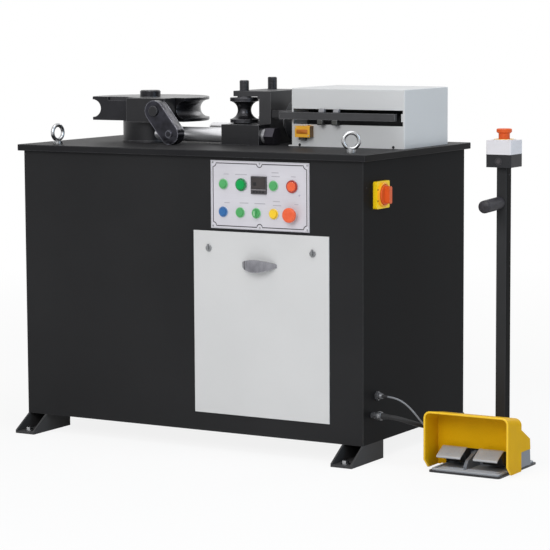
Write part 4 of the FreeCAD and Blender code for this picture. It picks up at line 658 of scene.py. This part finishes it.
def band(bm, path, centre, facing, wide, low, high):
    # a flat band that follows a closed path
    lines = [[], [], [], []]
    for i, spot in enumerate(path):
        before, after = path[i - 1], path[(i + 1) % len(path)]
        along = Vector((after[0] - before[0], after[1] - before[1])).normalized()
        across = Vector((-along.y, along.x)) * wide / 2
        for line, (side, height) in zip(lines, ((1, low), (1, high), (-1, high), (-1, low))):
            line.append(ringAt(bm, centre, facing, [(spot[0] + side * across.x, spot[1] + side * across.y)],
                               height)[0])
    for one, two in zip(lines, lines[1:] + lines[:1]):
        wallBetween(bm, one, two)


def prism(bm, outline, left, right):
    # a side view, (y, z) points, drawn out along X
    low, high = [[bm.verts.new(place(x, y, z)) for y, z in outline] for x in (left, right)]
    wallBetween(bm, low, high)
    bm.faces.new(low)
    bm.faces.new(high)


def soften(piece, radius, segments=2):
    bevel = piece.modifiers.new("soften", "BEVEL")
    bevel.width = radius * mm
    bevel.segments = segments
    bevel.limit_method = "ANGLE"
    return piece


def finishMesh(name, bm, crease=35):
    bmesh.ops.remove_doubles(bm, verts=bm.verts, dist=1e-6)
    bmesh.ops.recalc_face_normals(bm, faces=bm.faces)
    mesh = bpy.data.meshes.new(name)
    bm.to_mesh(mesh)
    bm.free()
    for face in mesh.polygons:
        face.use_smooth = True
    mesh.set_sharp_from_angle(angle=math.radians(crease))
    return bpy.data.objects.new(name, mesh)


def fit(name, bm, finish):
    # a piece that stays with the machine's frame
    return settle(finishMesh(name, bm), "root", finish)


# node trees for what repeats


def startTree(name, inputs):
    tree = bpy.data.node_groups.new(name, "GeometryNodeTree")
    tree.interface.new_socket(name="Seed Points", in_out="INPUT", socket_type="NodeSocketGeometry")
    tree.interface.new_socket(name="Grown", in_out="OUTPUT", socket_type="NodeSocketGeometry")
    for label, kind, value in inputs:
        socket = tree.interface.new_socket(name=label, in_out="INPUT", socket_type="NodeSocket" + kind)
        if value is not None:
            socket.default_value = value
    return tree, tree.nodes.new("NodeGroupInput").outputs, tree.nodes.new("NodeGroupOutput").inputs


def treeStep(tree, kind, feeds, **settings):
    # a geometry node, unless the kind names another family
    family = "" if kind.startswith(("Shader", "Function")) else "GeometryNode"
    made = tree.nodes.new(family + kind)
    for key, value in settings.items():
        setattr(made, key, value)
    return feedAll(tree, made, feeds).outputs[0]


def closeTree(tree, given, made, grown):
    whole = treeStep(tree, "RealizeInstances", {"Geometry": grown})
    smooth = treeStep(tree, "SetShadeSmooth", {"Geometry": whole, "Shade Smooth": True})
    coated = treeStep(tree, "SetMaterial", {"Geometry": smooth, "Material": given["Finish"]})
    tree.links.new(coated, made[0])
    return tree


def grow(name, tree, spots, values, crease=35):
    # spots are (x, y, z) in millimetres, or (x, y, z, facing)
    seedMesh = bpy.data.meshes.new(name + "Seed")
    seedMesh.from_pydata([place(*spot[:3]) for spot in spots], [], [])
    facing = seedMesh.attributes.new("facing", "FLOAT_VECTOR", "POINT")
    for index, spot in enumerate(spots):
        facing.data[index].vector = facings[spot[3]].col[2] if len(spot) > 3 else (0, 0, 1)
    seed = linkIn(bpy.data.objects.new(name + "Seed", seedMesh))
    grower = seed.modifiers.new("grower", "NODES")
    grower.node_group = tree
    for item in tree.interface.items_tree:
        if item.in_out == "INPUT" and item.name in values:
            value = values[item.name]
            grower[item.identifier] = finishes[value] if item.name == "Finish" else value
    grown = bakeMesh(seed)
    seed.modifiers.remove(grower)
    bpy.data.objects.remove(seed)
    grown.name = name
    grown.set_sharp_from_angle(angle=math.radians(crease))
    return bpy.data.objects.new(name, grown)


def screwTree():
    # a domed head with a hexagonal socket on every seed point
    tree, given, made = startTree("socketScrews", [
        ("Head Radius", "Float", 0.004), ("Head Height", "Float", 0.0025),
        ("Socket Radius", "Float", 0.0018), ("Finish", "Material", None)])
    high = given["Head Height"]
    shoulder = mathOn(tree, "MULTIPLY", given["Head Radius"], 0.72)
    head = treeStep(tree, "MeshCone",
                    {"Vertices": 24, "Side Segments": 1, "Radius Top": shoulder,
                     "Radius Bottom": given["Head Radius"], "Depth": high})
    socket = treeStep(tree, "MeshCylinder",
                      {"Vertices": 6, "Radius": given["Socket Radius"], "Depth": high})
    lift = treeStep(tree, "ShaderNodeCombineXYZ", {"Z": high})
    raised = treeStep(tree, "Transform", {"Geometry": socket, "Translation": lift})
    cut = treeStep(tree, "MeshBoolean", {"Mesh 1": head, "Mesh 2": raised}, operation="DIFFERENCE")
    facing = treeStep(tree, "InputNamedAttribute", {"Name": "facing"}, data_type="FLOAT_VECTOR")
    turn = treeStep(tree, "FunctionNodeAlignRotationToVector", {"Vector": facing}, axis="Z")
    heads = treeStep(tree, "InstanceOnPoints", {"Points": given[0], "Instance": cut, "Rotation": turn})
    return closeTree(tree, given, made, heads)


def squareBar(tree, top, size):
    # a four-sided bar with sloped sides
    bar = treeStep(tree, "MeshCone",
                   {"Vertices": 4, "Radius Top": top, "Radius Bottom": 0.7071, "Depth": 1.0})
    squared = treeStep(tree, "Transform", {"Geometry": bar, "Rotation": (0, 0, math.pi / 4)})
    return treeStep(tree, "Transform", {"Geometry": squared, "Scale": size})


def slatTree():
    # evenly spaced bars with sloped sides, from the seed point along a step
    tree, given, made = startTree("slopedSlats", [
        ("Count", "Int", 5), ("Spacing", "Vector", (0, 0.01, 0)),
        ("Bar Size", "Vector", (0.1, 0.004, 0.001)), ("Turn", "Rotation", None),
        ("Finish", "Material", None)])
    sized = squareBar(tree, 0.58, given["Bar Size"])
    turned = treeStep(tree, "Transform", {"Geometry": sized, "Rotation": given["Turn"]})
    line = treeStep(tree, "MeshLine", {"Count": given["Count"], "Offset": given["Spacing"]})
    row = treeStep(tree, "InstanceOnPoints", {"Points": line, "Instance": turned})
    rows = treeStep(tree, "InstanceOnPoints", {"Points": given[0], "Instance": row})
    return closeTree(tree, given, made, rows)


def knurlTree():
    # ridges round an axis that lies along X through the seed point
    tree, given, made = startTree("knurledRing", [
        ("Ridges", "Int", 28), ("Ring Radius", "Float", 0.0115),
        ("Ridge Size", "Vector", (0.001, 0.0012, 0.01)), ("Finish", "Material", None)])
    sized = squareBar(tree, 0.3, given["Ridge Size"])
    ring = treeStep(tree, "MeshCircle", {"Vertices": given["Ridges"], "Radius": given["Ring Radius"]})
    away = treeStep(tree, "InputPosition", {})
    turn = treeStep(tree, "FunctionNodeAlignRotationToVector", {"Vector": away}, axis="Z")
    ridges = treeStep(tree, "InstanceOnPoints", {"Points": ring, "Instance": sized, "Rotation": turn})
    stood = treeStep(tree, "Transform", {"Geometry": ridges, "Rotation": (0, math.pi / 2, 0)})
    rings = treeStep(tree, "InstanceOnPoints", {"Points": given[0], "Instance": stood})
    return closeTree(tree, given, made, rings)


def gripTree():
    # a foam sleeve with rounded rings, drawn from the seed point along a run
    tree, given, made = startTree("ringedGrip", [
        ("Run", "Vector", (0, -0.09, 0)), ("Radius", "Float", 0.018), ("Ring Depth", "Float", 0.0007),
        ("Rings", "Float", 14.0), ("Finish", "Material", None)])
    line = treeStep(tree, "CurvePrimitiveLine", {"Start": (0, 0, 0), "End": given["Run"]})
    fine = treeStep(tree, "ResampleCurve", {"Curve": line, "Count": 141})
    along = treeStep(tree, "SplineParameter", {})
    phase = mathOn(tree, "MULTIPLY", mathOn(tree, "MULTIPLY", along, given["Rings"]), 2 * math.pi)
    swell = mathOn(tree, "MULTIPLY", mathOn(tree, "COSINE", phase), given["Ring Depth"])
    reach = mathOn(tree, "SUBTRACT", given["Radius"], swell)
    toEnd = mathOn(tree, "ABSOLUTE", mathOn(tree, "SUBTRACT", along, 1.0))
    domed = mathOn(tree, "POWER", spreadOn(tree, toEnd, (0.0, 0.05), (0.0, 1.0)), 0.35)
    kept = mathOn(tree, "MAXIMUM", mathOn(tree, "MULTIPLY", reach, domed), 0.002)
    circle = treeStep(tree, "CurvePrimitiveCircle", {"Resolution": 40, "Radius": 1.0})
    sleeve = treeStep(tree, "CurveToMesh",
                      {"Curve": fine, "Profile Curve": circle, "Scale": kept, "Fill Caps": True})
    sleeves = treeStep(tree, "InstanceOnPoints", {"Points": given[0], "Instance": sleeve})
    return closeTree(tree, given, made, sleeves)


screws, slats, knurls, grips = screwTree(), slatTree(), knurlTree(), gripTree()
print("node trees ready")


def fitScrews(name, spots, sizes, finish="zincPlate"):
    # sizes are head radius, head height and socket radius
    labels = ("Head Radius", "Head Height", "Socket Radius")
    values = {label: size * mm for label, size in zip(labels, sizes)}
    return settle(grow(name, screws, spots, {**values, "Finish": finish}), "root", None)


def growRibs(name, spots, setup, slope, finish):
    # the slope is in degrees
    return grow(name, slats, spots, {
        "Count": setup["ribs"], "Spacing": [v * mm for v in setup["ribStep"]],
        "Bar Size": [v * mm for v in setup["ribSize"]], "Turn": (math.radians(slope), 0.0, 0.0),
        "Finish": finish})


# control panel trim
panelSetup = {
    "centre": (33, -307, 708),
    "size": (309, 186),
    "lineInset": 7.5,
    "lineWide": 2.4,
    "cornerRound": 10,
    "notchRound": 8.5,
    "screwSizes": (3.1, 1.6, 1.4),
    "rimInset": 1.2,
    "rimWide": 2.2,
    "pilot": (157.5, 714),
    "pilotProfile": [(0, -0.1), (2.6, -0.1), (2.6, 0.6), (1.9, 1.5), (0.8, 1.9), (0, 2.0)],
    "collars": {
        "leftGreen": (-79.5, 737, "bezelHalo", 11.4, 13.9, 4.6),
        "largeGreen": (-22.5, 737, "bezelGreen", 13.5, 17.2, 6.6),
        "rightGreen": (78.5, 737, "bezelHalo", 11.4, 13.9, 4.6),
        "upperRed": (136.5, 737, "bezelRed", 13.5, 17.2, 6.6),
        "lowerBlue": (-80.5, 661, "bezelHaloBlue", 11.4, 13.9, 4.6),
        "lowerGreen": (-26.5, 661, "bezelHalo", 11.4, 13.9, 4.6),
        "selector": (24.5, 661, "bezelHalo", 11.4, 13.9, 4.6),
        "lowerYellow": (78.5, 661, "bezelHaloYellow", 11.4, 13.9, 4.6),
    },
    "legends": [(-72, 764, 17), (-25, 764, 38), (82, 772, 22), (84, 762, 26), (139, 763, 15),
                (-70, 686, 17), (-16, 687, 28), (34, 687, 34), (86, 695, 22), (88, 684, 26), (148, 689, 13)],
}


def panelOutline(setup):
    wide, high = (v / 2 - setup["lineInset"] for v in setup["size"])
    corner, notch = setup["cornerRound"], setup["notchRound"]
    spots = []
    for sx, sy in ((1, 1), (-1, 1), (-1, -1), (1, -1)):
        arc = [(sx * (wide - corner * math.cos(t)), sy * (high - corner * math.sin(t)))
               for t in (math.radians(15 * k) for k in range(7))]
        if sx * sy > 0:
            arc.reverse()
        dip = [(sx * notch * math.cos(t), sy * (high - notch * math.sin(t)))
               for t in (math.radians(20 * k) for k in range(10))]
        spots += arc + (dip if sx * sy > 0 else [])
    return spots


def makePanelTrim(setup):
    centre = setup["centre"]
    bm = bmesh.new()
    band(bm, panelOutline(setup), centre, "front", setup["lineWide"], -0.1, 0.2)
    fit("panelBorder", bm, "panelInk")
    bm = bmesh.new()
    wide, high = setup["size"]
    rim = 2 * setup["rimInset"]
    band(bm, roundedSpots(wide - rim, high - rim, 1.5), centre, "front", setup["rimWide"], -0.1, 0.5)
    fit("panelRimFrame", bm, "panelRim")
    bm = bmesh.new()
    for x, z, long in setup["legends"]:
        slab(bm, (x, centre[1], z), "front", long, 2.2, 1.0, [(0, -0.1), (0, 0.12), (0.1, 0.18)])
    fit("panelLegendStrips", bm, "legendGrey")
    for name, (x, z, finish, inner, outer, out) in setup["collars"].items():
        bm = bmesh.new()
        spin(bm, [(inner, 3), (outer + 0.5, 3), (outer + 0.5, 3.6), (outer, out - 0.6), (outer - 0.6, out),
                  (inner + 0.5, out), (inner, out - 0.5)], (x, centre[1], z), "front", 40, True)
        fit(name + "Collar", bm, finish)
    bm = bmesh.new()
    across, up = setup["pilot"]
    spin(bm, setup["pilotProfile"], (across, centre[1], up), "front", 20)
    fit("panelPilot", bm, "pilotGrey")
    inset = setup["lineInset"] - 1.0
    spots = [(centre[0] + sx * (wide / 2 - inset), centre[1], centre[2] + sz * (high / 2 - inset), "front")
             for sx in (-1, 0, 1) for sz in (-1, 1)]
    fitScrews("panelScrews", spots, setup["screwSizes"])


makePanelTrim(panelSetup)

meterSetup = {
    "centre": (32.5, -312, 737),
    "window": (40, 28),
    "windowUp": 5.5,
    "mark": (9, 9, 0.8),
    "markAt": (-12, 3.5),
    "key": (7.4, 4.6, 0.8),
    "keysAt": [(-14.5 + step * 9.6, -18.2) for step in range(4)],
    "line": (46, 1.5, 0.4),
    "lineDrop": 12.2,
}


def makeMeter(setup):
    x, y, z = setup["centre"]
    bm = bmesh.new()
    slab(bm, (x, y, z + setup["windowUp"]), "front", *setup["window"], 1.0,
         [(0, -1.6), (0, -0.6), (0.4, -0.3)])
    fit("meterWindow", bm, "meterGlass")
    bm = bmesh.new()
    across, up = setup["markAt"]
    slab(bm, (x + across, y, z + up), "front", *setup["mark"], [(0, -0.4), (0, 0.1), (0.3, 0.3)])
    for across, up in setup["keysAt"]:
        slab(bm, (x + across, y, z + up), "front", *setup["key"], [(0, -0.9), (0, 0.3), (0.4, 0.7)])
    fit("meterKeys", bm, "blackMoulding")
    bm = bmesh.new()
    slab(bm, (x, y, z - setup["lineDrop"]), "front", *setup["line"], [(0, -0.9), (0, 0.2), (0.2, 0.4)])
    fit("meterLine", bm, "meterLine")


makeMeter(meterSetup)

markSetup = {
    "centre": (24.5, -322, 661),
    "size": (2.0, 13, 0.9),
    "levels": [(0, -0.1), (0, 0.25), (0.3, 0.45)],
}
bm = bmesh.new()
slab(bm, markSetup["centre"], "front", *markSetup["size"], markSetup["levels"])
settle(finishMesh("selectorMark", bm), "selector_knob", "markWhite")
print("panel trimmed")


# fastenings and openings on the housings
coverScrewSetup = {
    "spots": [(14.5, -55, 832.5, "front"), (308.5, -55, 832.5, "front"),
              (20, 210, 840, "back"), (312, 210, 840, "back")],
    "sizes": (4.0, 3.0, 2.0),
}
fitScrews("coverScrews", coverScrewSetup["spots"], coverScrewSetup["sizes"], "blackMoulding")

smallScrewSetup = {
    "spots": [(360, -242.6, 731.5, "right"), (360, -242.6, 701.5, "right"),
              (348.5, -285, 739, "right"), (668.5, -85, 772, "right")],
    "sizes": (2.0, 0.8, 1.0),
}
fitScrews("smallScrews", smallScrewSetup["spots"], smallScrewSetup["sizes"], "blackMoulding")

limitSetup = {
    "centre": (35.5, -79, 870.5),
    "plate": (35, 12, 1.5),
    "screwSizes": (2.1, 1.0, 0.9),
    "screws": [(15.6, -79, 881.5, "front"), (55.4, -79, 859.5, "front")],
}
bm = bmesh.new()
slab(bm, limitSetup["centre"], "front", *limitSetup["plate"], [(0, -0.1), (0, 0.5), (0.3, 0.7)])
fit("limitSwitchPlate", bm, "limitLabel")
fitScrews("limitSwitchScrews", limitSetup["screws"], limitSetup["screwSizes"])

stopSetup = {
    "knockout": (653.5, -121, 808),
    "groove": [(8.2, -0.2), (9.6, -0.2), (9.4, 0.7), (8.4, 0.7)],
    "plug": [(0, -0.2), (6.4, -0.2), (6.2, 0.5), (0, 0.5)],
    "ring": (653.5, -85, 865),
    "ringRadii": (21.2, 26.5),
}
bm = bmesh.new()
spin(bm, stopSetup["groove"], stopSetup["knockout"], "front", 32, True)
spin(bm, stopSetup["plug"], stopSetup["knockout"], "front", 32)
fit("stopBoxKnockout", bm, "meterGrey")
bm = bmesh.new()
inner, outer = stopSetup["ringRadii"]
spin(bm, [(inner, -0.2), (outer, -0.2), (outer - 0.3, 0.8), (inner + 0.2, 0.8)], stopSetup["ring"], "up",
     40, True)
fit("stopYellowRing", bm, "capYellow")

switchCollarSetup = {
    "centre": (360, -211.5, 716.5),
    "profile": [(27.5, -0.2), (32.6, -0.2), (32.6, 4.2), (31.6, 5.3), (28.6, 5.3), (27.5, 4.4)],
}
bm = bmesh.new()
spin(bm, switchCollarSetup["profile"], switchCollarSetup["centre"], "right", 56, True)
fit("switchCollar", bm, "collarYellow")

slotSetup = {
    "end": (334.8, -55, 912.6),
    "size": (5.6, 21.7, 0.6),
}
bm = bmesh.new()
slab(bm, slotSetup["end"], "front", *slotSetup["size"], [(0, -1.6), (0, -0.5), (0.3, -0.2)])
fit("coverSlotEnd", bm, "coverPaint")

dogSetup = {
    "lefts": (83.5, 129.5),
    "wide": 16.5,
    "tip": [(-76.6, 924.3), (-76.6, 929), (-73.5, 934.5), (-64, 934.5), (-64, 924.3)],
    "foot": [(-79.5, 903.7), (-79.5, 891.5), (-77.5, 889.2), (-63.5, 889.2), (-63.5, 903.7)],
    "tipShift": 3.0,
}


def makeDogs(setup):
    for name, outline, shift, finish in (("tripDogTips", setup["tip"], setup["tipShift"], "dogSteel"),
                                         ("tripDogFeet", setup["foot"], 0, "dogDark")):
        bm = bmesh.new()
        for left in setup["lefts"]:
            prism(bm, outline, left + shift, left + shift + setup["wide"])
        dogs = settle(soften(finishMesh(name, bm), 0.8), "carriage", finish)
        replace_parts(dogs, "trip_dogs")


makeDogs(dogSetup)
print("fastenings placed")


# foot switch: hood lip, tray rim and ribs
hoodSetup = {
    "left": 524.0,
    "right": 762.7,
    "toe": (-269.0, 9.0),
    "lip": (-291.0, 30.0),
    "high": 156.4,
    "round": 15.5,
    "bead": 2.7,
}


def makeHoodLip(setup):
    left, right, radius = setup["left"], setup["right"], setup["round"]
    y = setup["lip"][0]
    spots = [(left, *setup["toe"]), (left, *setup["lip"])]
    for turn in range(0, 91, 15):
        angle = math.radians(turn)
        spots.append((left + radius * (1 - math.cos(angle)), y,
                      setup["high"] - radius * (1 - math.sin(angle))))
    spots += [(left + right - x, sy, z) for x, sy, z in reversed(spots)]
    route = [place(*spot) for spot in spots]
    data, spline = drawCurve("hoodLip", "POLY", route, setup["bead"] * mm, 4)
    bead = linkIn(bpy.data.objects.new("hoodLipCurve", data))
    mesh = bakeMesh(bead)
    bpy.data.objects.remove(bead)
    mesh.name = "hoodLip"
    return bpy.data.objects.new("hoodLip", mesh)


settle(makeHoodLip(hoodSetup), "root", "hoodLip")

traySetup = {
    "centre": (643.5, -185, 8),
    "size": (195, 226),
    "rimWide": 6.0,
    "rimHigh": 2.6,
    "ribs": 4,
    "ribStep": (0, 9.0, 0),
    "ribSize": (178.0, 4.0, 1.6),
}


def makeTray(setup):
    wide, deep = setup["size"]
    bm = bmesh.new()
    inset = setup["rimWide"] / 2 + 1
    band(bm, roundedSpots(wide - 2 * inset, deep - 2 * inset, 4), setup["centre"], "up",
         setup["rimWide"], -0.2, setup["rimHigh"])
    settle(soften(finishMesh("footTrayRim", bm), 0.7), "root", "trayRib")
    x, y, z = setup["centre"]
    first = y - deep / 2 + setup["rimWide"] + 7
    ribs = growRibs("footTrayRibs", [(x, first, z - 0.1)], setup, 0, "trayRib")
    settle(ribs, "root", None)


makeTray(traySetup)

skirtSetup = {
    "outline": [(-214.2, 8.5), (-214.2, 57), (-211.2, 57), (-211.2, 8.5)],
    "spans": ((528.5, 550.0), (731.0, 758.5)),
}
bm = bmesh.new()
for left, right in skirtSetup["spans"]:
    prism(bm, skirtSetup["outline"], left, right)
fit("hoodSkirt", bm, "hoodYellow")

pedalSetup = {
    "centres": {"left": 587.5, "right": 693.5},
    "treadWide": 70.0,
    "treadTop": [(-279.4, 38.6), (-278.2, 41.4), (-272, 45.2), (-244, 60.3), (-238.5, 62.2), (-233.5, 61.4)],
    "treadThick": (1.4, 3.2),
    "ribs": 8,
    "firstRib": (-270.6, 45.7),
    "ribStep": (0, 3.5, 1.887),
    "ribSize": (62.0, 1.5, 0.8),
    "slope": 28.34,
    "shellWide": 62.0,
    "shell": [(-245.5, 46), (-245, 56), (-238, 59), (-232, 58.2), (-224, 55.8), (-213.5, 52), (-204, 49),
              (-198, 46), (-197, 40), (-197, 24), (-204, 20), (-213, 18), (-224, 18)],
}


def makePedals(setup):
    down, under = setup["treadThick"]
    outline = setup["treadTop"] + [(y + down, z - under) for y, z in reversed(setup["treadTop"])]
    for side, x in setup["centres"].items():
        body = side + "_pedal"
        bm = bmesh.new()
        prism(bm, outline, x - setup["treadWide"] / 2, x + setup["treadWide"] / 2)
        tread = settle(soften(finishMesh(side + "PedalTread", bm), 0.9, 3), body, "pedalSteel")
        bm = bmesh.new()
        prism(bm, setup["shell"], x - setup["shellWide"] / 2, x + setup["shellWide"] / 2)
        shell = settle(soften(finishMesh(side + "PedalShell", bm), 1.2, 3), body, "pedalShell")
        ribs = growRibs(side + "PedalRibs", [(x, *setup["firstRib"])], setup, setup["slope"], "pedalSteel")
        settle(ribs, body, None)
        for piece in (tread, shell, ribs):
            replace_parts(piece, body)


makePedals(pedalSetup)
print("foot switch dressed")


# post grip, gland ring and strain reliefs
gripSetup = {
    "seed": (647.5, -100.2, 697),
    "Run": (0, -98 * mm, -4 * mm),
    "Radius": 16.6 * mm,
    "Ring Depth": 0.5 * mm,
    "Rings": 13.0,
    "Finish": "gripFoam",
}
postGrip = grow("foamGrip", grips, [gripSetup["seed"]], gripSetup, 60)
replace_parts(settle(postGrip, "root", None), "post_grip")

knurlSetup = {
    "seed": (372.0, -255, 127),
    "Ridges": 30,
    "Ring Radius": 11.3 * mm,
    "Ridge Size": (11.5 * mm, 1.3 * mm, 0.9 * mm),
    "Finish": "lockZinc",
}
settle(grow("glandKnurl", knurls, [knurlSetup["seed"]], knurlSetup), "root", None)

reliefSetup = {
    "cableRelief": ((366.5, -228, 176), [
        (0, -2), (4.7, -2), (4.7, 1), (4.2, 2.5), (4.2, 4), (3.8, 5), (3.8, 7), (3.4, 8), (3.4, 11),
        (3.05, 14), (2.7, 15.5), (0, 15.5)]),
    "conduitRelief": ((379.5, -255, 127), [
        (0, -2), (8.7, -2), (8.7, 3), (8.2, 5), (7.9, 9), (7.4, 13), (6.9, 17), (6.5, 19), (0, 19)]),
}
for name, (start, profile) in reliefSetup.items():
    bm = bmesh.new()
    spin(bm, profile, start, "right", 32)
    settle(finishMesh(name, bm, 50), "root", "rubberBlack")

cableLead = makeLead("cableLead", cableSetup, "cableGrey")
conduitLead = makeLead("conduitLead", conduitSetup, "rubberBlack")
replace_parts(cableLead, "control_cable")
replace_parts(conduitLead, "control_conduit")
print("leads laid")


# rear service panel
rearSetup = {
    "centre": (-190, 305, 430),
    "size": (760, 560),
    "louvres": [(-420, 305, 560), (40, 305, 560)],
    "ribs": 9,
    "ribStep": (0, 0, -18.0),
    "ribSize": (150.0, 5.0, 3.2),
    "screwIn": 14,
    "screwSizes": (5.0, 3.0, 2.2),
    "screwShares": (-1, -0.34, 0.34, 1),
}


def makeRearPanel(setup):
    x, y, z = setup["centre"]
    wide, high = setup["size"]
    bm = bmesh.new()
    slab(bm, setup["centre"], "back", wide, high, 6, [(0, 0.05), (0, 1.2), (0.6, 1.7)])
    fit("rearServicePanel", bm, "charcoalPowder")
    seeds = [(px, py + 1.5, pz) for px, py, pz in setup["louvres"]]
    settle(growRibs("rearLouvres", seeds, setup, -90, "charcoalPowder"), "root", None)
    inset = setup["screwIn"]
    spots = [(x + sx * (wide / 2 - inset), y + 1.6, z + sz * (high / 2 - inset), "back")
             for sx in setup["screwShares"] for sz in (-1, 1)]
    fitScrews("rearPanelScrews", spots, setup["screwSizes"])


makeRearPanel(rearSetup)
print("rear panel fitted")
